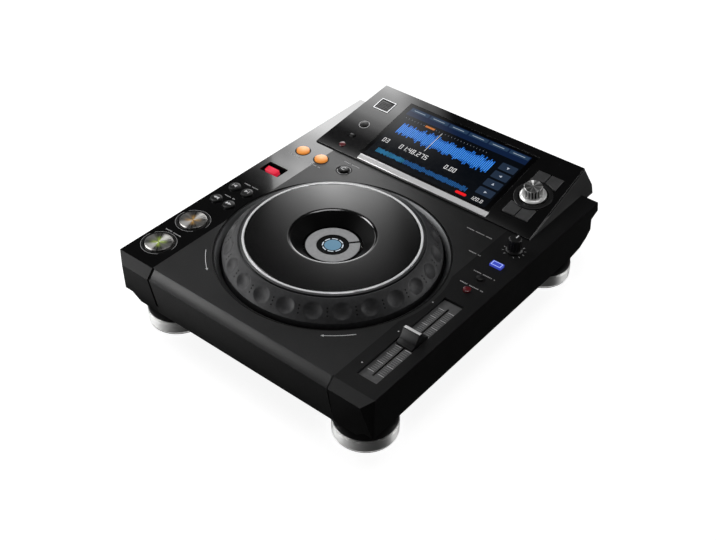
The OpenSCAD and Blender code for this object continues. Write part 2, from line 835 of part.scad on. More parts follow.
module hold_button() color([0.5, 0.05, 0.08]) deck_button(hold_at, hold_r, -0.4);

module mode_button() color([0.3, 0.4, 0.95]) translate([mode_at[0], deck_y + mode_at[1], 0]) {
    union() {
        pill_block(mode_size, 1, under_z - seat_gap - eps, deck_z + button_proud);
        pill_block([mode_size[0] + 2 * flange_w, mode_size[1] + 2 * flange_w], 1,
            under_z - seat_gap - flange_t, under_z - seat_gap);
        disc(stem_r, stem_z, under_z - seat_gap - flange_t + eps);
    }
}

// The lever leans towards the front at rest; its saddle closes the slot.
module direction_lever() color([0.85, 0.15, 0.25])
    translate([left_x, deck_y + lever_back, lever_z]) rotate([lever_lean, 0, 0]) {
        w = lever_slot[0] - 2 * part_gap;
        difference() {
            union() {
                translate([-w / 2, 0, 0]) rotate([0, 90, 0]) cylinder(r = saddle_r, h = w);
                pill_block([lever_w, lever_t], 1.2, 0, deck_z - lever_z + lever_proud);
                translate([-w / 2 - ear_t, 0, 0]) rotate([0, 90, 0])
                    cylinder(r = pivot_r, h = w + 2 * ear_t);
            }
            // The saddle is cut flat below its pivot
            box([-w, w], [-20, 20], [-20, -2.2]);
        }
    }

// ---- Tempo fader ----

slot_w = 1.8;
slot_len = fader_travel + 8;
tongue = [1.2, 5];
channel = [9, fader_travel + 28, 8];
channel_low = under_z - plate_t - channel[2];

module at_fader() {
    translate([right_x, fader_y, 0]) children();
}

module fader_plate() color([0.35, 0.35, 0.35]) at_fader()
    difference() {
        box([-recess_w / 2 - plate_margin, recess_w / 2 + plate_margin],
            [-recess_len / 2 - plate_margin, recess_len / 2 + plate_margin],
            [under_z - plate_t, under_z]);
        box([-slot_w / 2, slot_w / 2], [-slot_len / 2, slot_len / 2], [0, big]);
    }

module fader_unit() color([0.6, 0.6, 0.6]) at_fader()
    difference() {
        box([-channel[0] / 2, channel[0] / 2], [-channel[1] / 2, channel[1] / 2],
            [channel_low, under_z - plate_t]);
        box([-channel[0] / 2 + 1, channel[0] / 2 - 1], [-slot_len / 2, slot_len / 2],
            [channel_low + 1, under_z - plate_t - 1]);
        box([-slot_w / 2, slot_w / 2], [-slot_len / 2, slot_len / 2], [channel_low + 1, big]);
    }

// Cap with hollowed finger slopes in front of and behind its crest.
module fader_cap() color([0.05, 0.05, 0.05]) at_fader() {
    low = under_z + seat_gap;
    top = low + cap_h;
    l = cap_len / 2;
    along_x(-cap_w / 2, cap_w / 2)
        polygon([[-l, low], [l, low], [l, low + 2.5], [l * 0.62, low + cap_h * 0.36],
            [l * 0.36, low + cap_h * 0.68], [l * 0.2, top], [-l * 0.2, top],
            [-l * 0.36, low + cap_h * 0.68], [-l * 0.62, low + cap_h * 0.36],
            [-l, low + 2.5]]);
    box([-tongue[0] / 2, tongue[0] / 2], [-tongue[1] / 2, tongue[1] / 2],
        [channel_low + 2, low + eps]);
}

// ---- Speed knob ----

speed_shaft_r = 3;

module speed_knob() color([0.04, 0.04, 0.04]) translate([speed_at[0], deck_y + speed_at[1], 0])
    difference() {
        union() {
            disc(speed_shaft_r, board_top + 2.5, deck_z + 1);
            translate([0, 0, deck_z + seat_gap]) rotate_extrude()
                polygon([[0, 0], [speed_r + 2, 0], [speed_r + 2, 1.2], [speed_r + 0.6, 2.6],
                    [speed_r, speed_h - 0.8], [speed_r - 0.8, speed_h], [0, speed_h]]);
        }
        // Grip flutes
        for (i = [0:11])
            rotate([0, 0, i * 30 + 15]) translate([speed_r + 0.6, 0, deck_z + 3])
                cylinder(r = 1, h = speed_h, $fn = 24);
    }

// ---- Screen pod ----

pod_y = deck_y + pod_back;
pod_z = deck_z + pod_lip;
pod_tilt = atan(pod_rise / pod_run);
pod_slope = norm([pod_run, pod_rise]);
pod_top_z = pod_z + pod_rise;
pod_rear = deck_end + pod_overhang;
pod_low_z = deck_z - 6.5;
pod_chin_z = deck_z + 2;
function pod_half(z) = pod_half_w - (z - deck_z) * tan(pod_lean);
function rim_at(z) = deck_end + rim_out * (deck_z - z) / rim_h;

pod_outline = [[pod_y, deck_z], [deck_end + 0.2, deck_z],
    [rim_at(pod_low_z) + 0.2, pod_low_z], [pod_rear - 1.5, pod_low_z],
    [pod_rear, pod_chin_z], [pod_y + pod_run, pod_top_z], [pod_y, pod_z]];
pod_hollow_outline = [[pod_y + wall, deck_z - 1], [deck_end - 2, deck_z - 1],
    [deck_end - 2, deck_z], [rim_at(pod_low_z) + 2.5, deck_z],
    [rim_at(pod_low_z) + 2.5, pod_low_z + wall], [pod_rear - 1.5 - wall, pod_low_z + wall],
    [pod_rear - wall, pod_chin_z], [pod_y + pod_run - 2, pod_top_z - 0.5],
    [pod_y + wall, pod_z - 0.2]];

module pod_prism(d) along_y(pod_y - 1, pod_rear + 1)
    polygon([[-pod_half(pod_low_z) + d, pod_low_z - 2], [pod_half(pod_low_z) - d, pod_low_z - 2],
        [pod_half(pod_low_z) - d, pod_low_z], [pod_half(pod_top_z) - d, pod_top_z],
        [pod_half(pod_top_z + 3) - d, pod_top_z + 3], [-pod_half(pod_top_z + 3) + d, pod_top_z + 3],
        [-pod_half(pod_top_z) + d, pod_top_z], [-pod_half(pod_low_z) + d, pod_low_z]]);

// Puts children in the plane of the pod's top: x across, y up the slope.
module on_pod() {
    translate([0, pod_y, pod_z]) rotate([pod_tilt, 0, 0]) children();
}

module panel_slab(n0, n1) {
    on_pod() box([-half_w, half_w], [-10, pod_slope + 10], [n0, n1]);
}

module pod_housing() color([0.05, 0.05, 0.05])
    difference() {
        intersection() {
            along_x(-half_w, half_w) polygon(pod_outline);
            pod_prism(0);
        }
        intersection() {
            along_x(-half_w, half_w) polygon(pod_hollow_outline);
            pod_prism(wall);
        }
        panel_slab(-panel_t, 20);
    }

glass_x = [-83, -83 + glass_w];
glass_s = [glass_from, glass_from + glass_len];
usb_s = 83.5;
stop_s = 47;
lock_s = 26.5;
mark_s = 9.5;
stop_r = 4.2;
mark_r = 3.4;
lock_slot = [9, 3.4];
lock_knob = [4.6, 2.6];
lock_travel = 1.5;
pod_board_n = -9;
browse_gap = 0.7;
browse_hole_r = selector_ring_r + 1.2;
selector_shaft_r = 3;

// One quarter of the button block, cut away round the selector's ring. Two keys
// side by side stay apart however far their flanges grow.
module browse_key(i, j, grow, n0, n1) {
    inner = max(browse_gap - grow, part_gap / 2);
    x = [i > 0 ? inner : -browse_w / 2 - grow, i > 0 ? browse_w / 2 + grow : -inner];
    y = [j > 0 ? 17 - grow : -browse_len / 2 - grow,
         j > 0 ? browse_len / 2 + grow : -17 + grow];
    translate([selector_x, selector_s, 0])
        difference() {
            box(x, y, [n0, n1]);
            disc(browse_hole_r - grow, n0 - 1, n1 + 1);
        }
}

pod_studs = [[-pod_left_x - 10, 12], [-pod_left_x - 10, 60], [selector_x + 12, 12],
    [selector_x + 12, 92]];

module pod_panel() color([0.03, 0.03, 0.035]) {
    difference() {
        intersection() {
            along_x(-half_w, half_w) polygon(pod_outline);
            pod_prism(0);
            panel_slab(-panel_t, 20);
        }
        on_pod() {
            box([glass_x[0] - part_gap, glass_x[1] + part_gap],
                [glass_s[0] - part_gap, glass_s[1] + part_gap], [-5, 5]);
            translate([-pod_left_x, usb_s, 0])
                box([-usb_size[0] / 2 - part_gap, usb_size[0] / 2 + part_gap],
                    [-usb_size[1] / 2 - part_gap, usb_size[1] / 2 + part_gap], [-5, 5]);
            translate([-pod_left_x, stop_s, 0]) disc(stop_r + hole_gap, -5, 5);
            translate([-pod_left_x, mark_s, 0]) disc(mark_r + hole_gap, -5, 5);
            translate([-pod_left_x, lock_s, 0])
                pill_block(lock_slot, 1.2, -5, 5);
            translate([selector_x, selector_s, 0]) disc(selector_shaft_r + 0.4, -5, 5);
            for (i = [-1, 1], j = [-1, 1])
                browse_key(i, j, hole_gap, -5, 5);
        }
    }
    on_pod() {
        translate([selector_x, selector_s, 0]) difference() {
            disc(selector_ring_r, -eps, 0.7);
            disc(selector_flange_r + 0.8, -1, 1);
        }
        for (p = pod_studs)
            translate([p[0], p[1], 0]) disc(2.5, pod_board_n, -panel_t + eps);
    }
}

module touch_glass() color([0.02, 0.02, 0.03, 0.6]) on_pod()
    box(glass_x, glass_s, [-panel_t, 0]);

// Screen panel under the glass. It keeps clear of the pod's back wall.
lcd_over = 2.5;
lcd_rear_gap = 8.9;
lcd_t = 5.5;

module lcd_panel() color([0.2, 0.22, 0.25]) on_pod()
    box([glass_x[0] - lcd_over, glass_x[1] + lcd_over],
        [glass_from - lcd_over - 0.5, pod_slope - lcd_rear_gap], [-panel_t - lcd_t, -panel_t]);

// Bright strip in front of the glass, sloping down to the lip.
module display_trim() color([0.8, 0.8, 0.82]) on_pod()
    along_x(glass_x[0] + 3.5, glass_x[1] + 2)
        polygon([[glass_from - 0.7 - strip_len, 0], [glass_from - 0.7, 0],
            [glass_from - 0.7, 1], [glass_from - 1.3, 1.2],
            [glass_from - 0.4 - strip_len, 0.6]]);

// ---- Memory port ----

frame_wall = 1.5;
door_t = 1.5;
door_in = [usb_size[0] - 2 * frame_wall, usb_size[1] - 2 * frame_wall];
well_depth = 5;
hinge_r = 1;
hinge_s = door_in[1] / 2 - 1.1;
port = [12.5, 5.2];
port_wall = 1;
port_len = 11.5;

module at_usb() {
    on_pod() translate([-pod_left_x, usb_s, 0]) children();
}

module port_spot() {
    translate([-pod_left_x, pod_y + usb_s * cos(pod_tilt), pod_z + usb_s * sin(pod_tilt)])
        children();
}

// Lit frame that lines the port's well.
module usb_frame() color([0.92, 0.94, 0.95])
    difference() {
        at_usb() {
            difference() {
                box([-usb_size[0] / 2, usb_size[0] / 2], [-usb_size[1] / 2, usb_size[1] / 2],
                    [-well_depth - 1.5, 0.4]);
                box([-door_in[0] / 2, door_in[0] / 2], [-door_in[1] / 2, door_in[1] / 2],
                    [-well_depth, 2]);
                // Bores for the door's pin
                translate([-usb_size[0] / 2 - 1, hinge_s, -door_t / 2 - 0.1]) rotate([0, 90, 0])
                    cylinder(r = hinge_r * 0.6 + run_gap, h = usb_size[0] + 2);
            }
        }
        port_spot()
            box([-port[0] / 2 - port_wall - part_gap, port[0] / 2 + port_wall + part_gap],
                [-port[1] / 2 - port_wall - part_gap, port[1] / 2 + port_wall + part_gap],
                [-well_depth - 6, -well_depth + 2.5]);
    }

module usb_socket() color([0.7, 0.7, 0.72]) port_spot()
    difference() {
        box([-port[0] / 2 - port_wall, port[0] / 2 + port_wall],
            [-port[1] / 2 - port_wall, port[1] / 2 + port_wall],
            [-well_depth - port_len, -well_depth + 0.5]);
        box([-port[0] / 2, port[0] / 2], [-port[1] / 2, port[1] / 2],
            [-well_depth - port_len + 1.5, big]);
    }

// Ribbed flap over the port, hinged at its back edge.
module usb_door() color([0.2, 0.2, 0.21]) at_usb() {
    g = 0.25;
    difference() {
        box([-door_in[0] / 2 + g, door_in[0] / 2 - g], [-door_in[1] / 2 + g, hinge_s],
            [-door_t - 0.1, -0.1]);
        for (i = [-2:2])
            box([-door_in[0] / 2 + 2, door_in[0] / 2 - 2], [i * 2.2 - 1.4, i * 2.2 - 0.6],
                [-0.5, 1]);
    }
    translate([-door_in[0] / 2 + g, hinge_s, -door_t / 2 - 0.1]) rotate([0, 90, 0])
        cylinder(r = door_t / 2, h = door_in[0] - 2 * g);
    translate([-usb_size[0] / 2 + 0.3, hinge_s, -door_t / 2 - 0.1]) rotate([0, 90, 0])
        cylinder(r = hinge_r * 0.6, h = usb_size[0] - 0.6);
}

// ---- Pod controls ----

pod_switch_n = pod_board_n + 1.8;
pod_stem_n = pod_switch_n + button_travel + 0.1;

module pod_button(s, r) {
    on_pod() translate([-pod_left_x, s, 0]) cap(r, 0, -panel_t, 1.3, -0.3, pod_stem_n);
}

module stop_button() color([0.06, 0.06, 0.06]) pod_button(stop_s, stop_r);
module mark_button() color([0.35, 0.05, 0.08]) pod_button(mark_s, mark_r);

module lock_switch() color([0.05, 0.05, 0.05]) on_pod() translate([-pod_left_x, lock_s, 0]) {
    pill_block(lock_knob, 0.8, -panel_t - seat_gap - eps, 1.6);
    box([-lock_slot[0] / 2 - 2, lock_slot[0] / 2 + 2], [-3, 3],
        [-panel_t - seat_gap - 1, -panel_t - seat_gap]);
}

bushing_n = -panel_t - 0.5;
shaft_end = selector_h - 3;

module selector_encoder() color([0.4, 0.4, 0.42]) on_pod() translate([selector_x, selector_s, 0])
    difference() {
        union() {
            box([-5.5, 5.5], [-5.5, 5.5], [pod_board_n, bushing_n - 2]);
            disc(4.5, bushing_n - 2 - eps, bushing_n);
        }
        disc(selector_shaft_r + run_gap, pod_board_n + 1, 0);
    }

module selector_shaft() color([0.6, 0.6, 0.6]) on_pod() translate([selector_x, selector_s, 0])
    disc(selector_shaft_r, pod_board_n + 1.2, shaft_end);

knurls = 30;
knurl_depth = 0.5;

// Turned knob with a flange, a knurled grip and a dished top.
module selector_knob() color([0.82, 0.83, 0.84]) on_pod() translate([selector_x, selector_s, 0]) {
    low = button_travel + 0.3;
    difference() {
        union() {
            translate([0, 0, low]) rotate_extrude()
                polygon([[0, 0], [selector_flange_r - 0.4, 0], [selector_flange_r, 0.4],
                    [selector_flange_r, 1.2], [selector_r + 1, 2.6], [0, 2.6]]);
            translate([0, 0, low + 2]) linear_extrude(selector_h - low - 3)
                polygon([for (i = [0:2 * knurls - 1])
                    let (r = selector_r - (i % 2) * knurl_depth, a = i * 180 / knurls)
                    [r * cos(a), r * sin(a)]]);
            translate([0, 0, selector_h - 1.2]) rotate_extrude()
                polygon([[0, 0], [selector_r - 0.6, 0], [selector_r - 0.6, 0.5],
                    [selector_r - 1.3, 1.2], [0, 0.8]]);
        }
        disc(selector_shaft_r + run_gap, -1, shaft_end + button_travel + 0.3);
    }
}

// A quarter key with its stop flange and stem; i and j say which quarter.
module browse_button(i, j) on_pod() {
    n = -panel_t - seat_gap;
    union() {
        browse_key(i, j, 0, n - eps, 1);
        browse_key(i, j, 0.9, n - 1.2, n);
        translate([selector_x + i * browse_w * 0.27, selector_s + j * (browse_len / 2 - 5), 0])
            disc(stem_r, pod_stem_n, n - 1.2 + eps);
    }
}

module back_button() color([0.3, 0.3, 0.3]) browse_button(-1, 1);
module tag_button() color([0.3, 0.3, 0.3]) browse_button(1, 1);
module list_button() color([0.3, 0.3, 0.3]) browse_button(-1, -1);
module menu_button() color([0.3, 0.3, 0.3]) browse_button(1, -1);

// ---- Boards inside ----

board_base = pan_top + 6;
board_back = panel_y - 35.5;
board_reach = 92;
board_len = 158;
supply_x = 18;
supply_len = 118;
board_area = [[-board_reach, 0], [board_back - board_len, board_back]];
supply_area = [[supply_x, board_reach], [board_back - supply_len, board_back]];
board_post_in = 5;
board_posts = [for (a = [board_area, supply_area], i = [0, 1], j = [0, 1])
    [a[0][i] + (i == 0 ? board_post_in : -board_post_in),
     a[1][j] + (j == 0 ? board_post_in : -board_post_in)]];
component_z = board_base + board_t - eps;

// Parts on a board: blocks as [x, y, width, length, height] from the board's front
// left corner, and upright cans as [x, y, radius, height].
module blocks(area, list) {
    for (b = list)
        translate([area[0][0] + b[0], area[1][0] + b[1], component_z]) cube([b[2], b[3], b[4]]);
}

module cans(area, list) {
    for (c = list)
        translate([area[0][0] + c[0], area[1][0] + c[1], component_z])
            cylinder(r = c[2], h = c[3]);
}

module board_plate(area) {
    box(area[0], area[1], [board_base, board_base + board_t]);
}

module main_board() color([0.05, 0.3, 0.15]) {
    board_plate(board_area);
    blocks(board_area, [[32, 70, 26, 26, 2.5], [66, 64, 14, 12, 1.5], [66, 84, 14, 12, 1.5]]);
    cans(board_area, [for (i = [0:3]) [12, 30 + i * 14, 3.2, 9]]);
}

module power_supply() color([0.6, 0.5, 0.25]) {
    board_plate(supply_area);
    blocks(supply_area, concat([[22, 50, 26, 24, 13]], [for (i = [0:5]) [8, 20 + i * 5, 10, 2, 12]]));
    cans(supply_area, [[60, 90, 7, 13], [40, 96, 5, 12]]);
}

// A small square switch under a button.
tact_s = 6;

module tact(x, y, z, h) {
    translate([x, y, 0])
        box([-tact_s / 2, tact_s / 2], [-tact_s / 2, tact_s / 2], [z - eps, z + h]);
}

module panel_boards() color([0.05, 0.3, 0.15]) {
    // Left column
    box([-half_w + wall + 1, -seam_x - 7], [deck_y + 6, deck_y + search_back + 46],
        [board_z, board_top]);
    for (p = concat([play_at, cue_at], search_at, track_at))
        tact(p[0], deck_y + p[1], board_top, switch_top - board_top);
    // Loop buttons
    box([loop_in_at[0] - 10, reloop_at[0] + 9], [deck_y + loop_back - 9, deck_y + loop_back + 9],
        [board_z, board_top]);
    for (p = [loop_in_at, loop_out_at, reloop_at])
        tact(p[0], deck_y + p[1], board_top, switch_top - board_top);
    // Right column
    box([right_x - 14, half_w - wall - 1], [deck_y + hold_back - 14, deck_y + speed_back + 13],
        [board_z, board_top]);
    for (p = [mode_at, range_at, hold_at])
        tact(p[0], deck_y + p[1], board_top, switch_top - board_top);
    translate([speed_at[0], deck_y + speed_at[1], 0])
        difference() {
            box([-5, 5], [-5, 5], [board_top - eps, board_top + 6]);
            disc(speed_shaft_r + run_gap, board_top + 2.2, big);
        }
    // Boards under the pod's two columns
    on_pod() {
        box([-pod_left_x - 13, glass_x[0] - 4], [5, usb_s - usb_size[1] / 2 - 3],
            [pod_board_n - 1.2, pod_board_n]);
        for (s = [stop_s, mark_s])
            tact(-pod_left_x, s, pod_board_n, pod_switch_n - pod_board_n);
        box([glass_x[1] + 4, selector_x + 15.8], [8, 96], [pod_board_n - 1.2, pod_board_n]);
        for (i = [-1, 1], j = [-1, 1])
            tact(selector_x + i * browse_w * 0.27, selector_s + j * (browse_len / 2 - 5),
                pod_board_n, pod_switch_n - pod_board_n);
    }
}

// ---- Rear panel and sockets ----

rear_t = 2;
inlet_x = 84;
inlet = [20, 12];
net_x = -30;
net = [16, 13.5];
host_x = -54;
host = [12, 11];
jack_x = [4, 24, 44];
jack_r = 6;
remote_x = -76;
remote_r = 4;
switch_x = -96;
switch_size = [12, 9];
switch_in = [switch_size[0] + 3.6, switch_size[1] + 3.6];
switch_out = [switch_in[0] + 2.4, switch_in[1] + 2.4];
barrel_out = 8;

module socket_hole(x, size) {
    box([x - size[0] / 2 - part_gap, x + size[0] / 2 + part_gap], [panel_y - 5, panel_y + 5],
        [socket_z - size[1] / 2 - part_gap, socket_z + size[1] / 2 + part_gap]);
}

module back_cylinder(x, r, y0, y1) {
    translate([x, y0, socket_z]) rotate([-90, 0, 0]) cylinder(r = r, h = y1 - y0);
}

// Upright panel with the rim that closes the deck under the pod.
module rear_panel() color([0.1, 0.1, 0.1])
    difference() {
        union() {
            box([-seam_x + part_gap, seam_x - part_gap], [panel_y - rear_t, panel_y],
                [pan_top, rim_z - 1]);
            intersection() {
                whole_shell();
                box([-seam_x + part_gap, seam_x - part_gap], [window_y[1], rim_y + 1],
                    [step_z, big]);
            }
        }
        socket_hole(inlet_x, inlet);
        socket_hole(net_x, net);
        socket_hole(host_x, host);
        socket_hole(switch_x, switch_size);
        for (x = jack_x)
            back_cylinder(x, jack_r - 1.2, panel_y - 5, panel_y + 5);
        back_cylinder(remote_x, remote_r, panel_y - 5, panel_y + 5);
    }

// A square-mouthed socket with an open cavity of the given size and depth.
module square_socket(x, size, mouth, depth) {
    difference() {
        box([x - size[0] / 2, x + size[0] / 2], [panel_y - depth - 3, panel_y + 0.6],
            [socket_z - size[1] / 2, socket_z + size[1] / 2]);
        box([x - mouth[0] / 2, x + mouth[0] / 2], [panel_y - depth, panel_y + 2],
            [socket_z - mouth[1] / 2, socket_z + mouth[1] / 2]);
    }
}

net_mouth = [11.8, 8.6];
host_mouth = [8.5, 7.8];

module rear_sockets() color([0.65, 0.66, 0.68]) {
    square_socket(net_x, net, net_mouth, 14);
    square_socket(host_x, host, host_mouth, 13);
    for (x = jack_x)
        difference() {
            union() {
                back_cylinder(x, jack_r - 1.5, panel_y - 10, panel_y + eps);
                back_cylinder(x, jack_r, panel_y, panel_y + 1.5);
                back_cylinder(x, 4.15, panel_y, panel_y + barrel_out);
            }
            back_cylinder(x, 1.7, panel_y - 3, panel_y + barrel_out + 1);
        }
    difference() {
        union() {
            back_cylinder(remote_x, remote_r - 0.3, panel_y - 12, panel_y + eps);
            back_cylinder(remote_x, remote_r + 0.8, panel_y, panel_y + 1.2);
        }
        back_cylinder(remote_x, 1.8, panel_y - 10, panel_y + 3);
    }
    // Body of the power switch, open towards its button
    difference() {
        box([switch_x - switch_out[0] / 2, switch_x + switch_out[0] / 2],
            [panel_y - rear_t - 12, panel_y - rear_t],
            [socket_z - switch_out[1] / 2, socket_z + switch_out[1] / 2]);
        box([switch_x - switch_in[0] / 2, switch_x + switch_in[0] / 2],
            [panel_y - rear_t - 5.5, panel_y],
            [socket_z - switch_in[1] / 2, socket_z + switch_in[1] / 2]);
    }
}

pin_pitch = 8.7;
pin_r = 1.2;
inlet_mouth = [16.4, 8.8];
inlet_depth = 12;

module power_inlet() color([0.05, 0.05, 0.05]) {
    square_socket(inlet_x, inlet, inlet_mouth, inlet_depth);
    for (i = [-1, 1])
        back_cylinder(inlet_x + i * pin_pitch / 2, pin_r, panel_y - inlet_depth - eps,
            panel_y - 2);
}

module power_button() color([0.06, 0.06, 0.06])
    translate([switch_x, 0, 0]) {
        box([-switch_size[0] / 2, switch_size[0] / 2], [panel_y - rear_t - seat_gap - eps, panel_y + 4],
            [socket_z - switch_size[1] / 2, socket_z + switch_size[1] / 2]);
        box([-switch_size[0] / 2 - 1.5, switch_size[0] / 2 + 1.5],
            [panel_y - rear_t - seat_gap - 2, panel_y - rear_t - seat_gap],
            [socket_z - switch_size[1] / 2 - 1.5, socket_z + switch_size[1] / 2 + 1.5]);
    }

lower_case();
top_cover();
left_cover();
right_cover();
rear_panel();
case_screws();
foot_columns();
foot_skirts();
foot_pads();
well_ring();
jog_base();
centre_display();
display_mark();
jog_ring();
jog_trim();
jog_bearing();
jog_gear();
jog_plate();
encoder_gear();
play_button();
cue_button();
search_back_button();
search_on_button();
track_back_button();
track_on_button();
direction_lever();
loop_in_button();
loop_out_button();
reloop_button();
fader_plate();
fader_unit();
fader_cap();
speed_knob();
mode_button();
range_button();
hold_button();
pod_housing();
pod_panel();
touch_glass();
lcd_panel();
display_trim();
usb_frame();
usb_socket();
usb_door();
stop_button();
lock_switch();
mark_button();
selector_encoder();
selector_shaft();
selector_knob();
back_button();
tag_button();
list_button();
menu_button();
main_board();
power_supply();
panel_boards();
rear_sockets();
power_inlet();
power_button();
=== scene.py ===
"""Finish and small parts of a tabletop media player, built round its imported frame."""

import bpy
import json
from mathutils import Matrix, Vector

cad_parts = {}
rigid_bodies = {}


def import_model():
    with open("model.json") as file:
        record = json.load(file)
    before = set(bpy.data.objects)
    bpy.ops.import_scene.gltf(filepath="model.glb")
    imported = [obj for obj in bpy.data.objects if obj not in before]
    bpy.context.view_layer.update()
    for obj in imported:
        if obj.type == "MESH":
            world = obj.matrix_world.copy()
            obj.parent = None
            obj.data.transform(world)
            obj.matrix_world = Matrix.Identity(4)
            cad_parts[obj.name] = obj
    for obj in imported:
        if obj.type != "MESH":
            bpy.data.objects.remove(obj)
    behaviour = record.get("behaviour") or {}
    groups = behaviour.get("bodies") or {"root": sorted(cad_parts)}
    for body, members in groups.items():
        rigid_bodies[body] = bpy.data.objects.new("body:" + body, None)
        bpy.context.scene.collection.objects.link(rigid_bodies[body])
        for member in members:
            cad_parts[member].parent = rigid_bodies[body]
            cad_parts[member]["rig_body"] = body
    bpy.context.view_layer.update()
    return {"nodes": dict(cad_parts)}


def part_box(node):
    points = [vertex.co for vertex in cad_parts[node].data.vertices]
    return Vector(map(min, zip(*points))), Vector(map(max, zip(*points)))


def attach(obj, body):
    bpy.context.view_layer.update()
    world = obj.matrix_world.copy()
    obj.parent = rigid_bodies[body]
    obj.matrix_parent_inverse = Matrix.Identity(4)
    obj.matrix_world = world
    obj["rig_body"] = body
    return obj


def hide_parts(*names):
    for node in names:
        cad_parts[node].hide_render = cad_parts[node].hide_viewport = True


bl_info = {
    "name": "Tabletop media player",
    "version": (1, 0, 0),
    "blender": (4, 5, 0),
    "location": "View3D > Sidebar > Player",
    "description": "Dresses a tabletop media player: covers, wheel, buttons, screen and stage",
    "category": "Object",
}

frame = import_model()

import functools
import json
import math
import random

import bmesh
import bpy
from bpy.props import FloatProperty, FloatVectorProperty, IntProperty, PointerProperty
from mathutils import Matrix, Vector

MM = 0.001
# Thickness of printing, and how far a cap's stop flange stands out, in millimetres
INK = 0.03
FLANGE = 1.3
BODY_OF = {name: node["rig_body"] for name, node in frame["nodes"].items()}


# ---- Places taken from the frame, in millimetres ----

def corners(node):
    """Lowest and highest corner of a CAD node, in millimetres."""
    low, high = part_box(node)
    return low / MM, high / MM


def middle(node):
    """Middle of a CAD node's box, at the height of its top."""
    low, high = corners(node)
    return Vector(((low.x + high.x) / 2, (low.y + high.y) / 2, high.z))


def centre_of(node):
    """Centre of a CAD node's box."""
    low, high = corners(node)
    return (low + high) / 2


def half_width(node):
    """Half of a CAD node's width."""
    low, high = corners(node)
    return (high.x - low.x) / 2


def upright(at, z=0.0):
    """Matrix that stands a piece at a point's x and y, at a height."""
    return Matrix.Translation((at.x, at.y, z))


DECK_Z = corners("top_cover")[1].z
SEAM_X = -corners("left_cover")[1].x
JOG = middle("jog_trim")


def pod_plane():
    """Matrix of the pod's sloping top: x across, y up the slope, z out of the panel.
    Its origin is in the middle, at the front edge of the touch glass."""
    mesh = frame["nodes"]["touch_glass"].data
    top = max((f for f in mesh.polygons if f.normal.z > 0.5), key=lambda f: f.area)
    normal = top.normal.normalized()
    front = min((mesh.vertices[i].co for i in top.vertices), key=lambda p: p.y) / MM
    across = Vector((1, 0, 0))
    along = normal.cross(across)
    turn = Matrix((across, along, normal)).transposed().to_4x4()
    return Matrix.Translation(Vector((0, front.y, front.z))) @ turn


# Frames of the pod's sloping top and of the deck
POD = pod_plane()
DECK = Matrix.Translation((0, 0, DECK_Z))


def on_pod(point):
    """Place of a point in the pod's plane: x across, y up the slope from the glass, z out."""
    return POD.inverted() @ point


# ---- Settings ----

def colour(name, description, value):
    """A colour that the sidebar shows, as linear red, green and blue."""
    return FloatVectorProperty(
        name=name, description=description, default=value, subtype="COLOR", size=3,
        min=0.0, max=1.0)


class PlayerColours(bpy.types.PropertyGroup):
    """Colours of the player's finishes."""

    deck: colour("Deck", "Satin plastic round the wheel", (0.0075, 0.0075, 0.0078))
    side: colour("Side", "Satin plastic of the right side", (0.006, 0.006, 0.0063))
    gloss: colour("Gloss", "Polished plastic of the left strip and the pod", (0.003, 0.003, 0.0032))
    grip: colour("Grip", "Rubbery ring of the wheel", (0.026, 0.026, 0.0275))
    chrome: colour("Chrome", "Foot skirts and selector", (0.78, 0.78, 0.77))
    steel: colour("Steel", "Brushed metal of the large buttons", (0.56, 0.55, 0.53))
    white: colour("White", "Ring round the top plate", (0.93, 0.93, 0.94))
    orange: colour("Orange", "Lit loop buttons", (0.95, 0.33, 0.06))
    blue: colour("Blue", "Lit mode button and the wave on the screen", (0.05, 0.075, 0.55))
    red: colour("Red", "Lit lever", (0.70, 0.012, 0.04))
    key: colour("Keys", "Keys round the selector", (0.045, 0.045, 0.046))


class PlayerSizes(bpy.types.PropertyGroup):
    """Sizes of the detail that the frame doesn't carry."""

    edge: FloatProperty(
        name="Edge", description="Rounding of the moulded edges", default=0.0005,
        min=0.0, unit="LENGTH")
    shoulder: FloatProperty(
        name="Shoulder", description="Rounding of the dish's upper edge", default=0.0015,
        min=0.0, unit="LENGTH")
    dimple: FloatProperty(
        name="Dimple", description="Radius of a finger dimple's mouth", default=0.0088,
        min=0.0, unit="LENGTH")
    dimple_depth: FloatProperty(
        name="Dimple depth", description="Depth of a finger dimple", default=0.0025,
        min=0.0, unit="LENGTH")
    dimples: IntProperty(
        name="Dimples", description="Number of finger dimples", default=24, min=3)
    grain: FloatProperty(
        name="Grain", description="Depth of the moulded plastic's grain", default=0.00004,
        min=0.0, unit="LENGTH")


def colours():
    """The colours that the sidebar holds."""
    return bpy.context.scene.player_colours


def sizes():
    """The sizes that the sidebar holds."""
    return bpy.context.scene.player_sizes


# ---- Materials ----

def add_node(material, kind, inputs=None, **settings):
    """Adds a shader node with its settings and the values of its inputs."""
    made = material.node_tree.nodes.new(kind)
    for key, value in settings.items():
        setattr(made, key, value)
    for key, value in (inputs or {}).items():
        made.inputs[key].default_value = value
    return made


def join(material, source, target):
    """Links an output to an input."""
    material.node_tree.links.new(source, target)


def shader_of(material):
    """The Principled shader of a material."""
    return material.node_tree.nodes["Principled BSDF"]


def plain(name, base, roughness, **sockets):
    """A Principled material with its constants on the shader's own sockets.
    Socket names are given with _ for a space."""
    material = bpy.data.materials.new(name)
    material.use_nodes = True
    shader = shader_of(material)
    shader.inputs["Base Color"].default_value = (*base, 1.0)
    shader.inputs["Roughness"].default_value = roughness
    for key, value in sockets.items():
        shader.inputs[key.replace("_", " ")].default_value = value
    return material


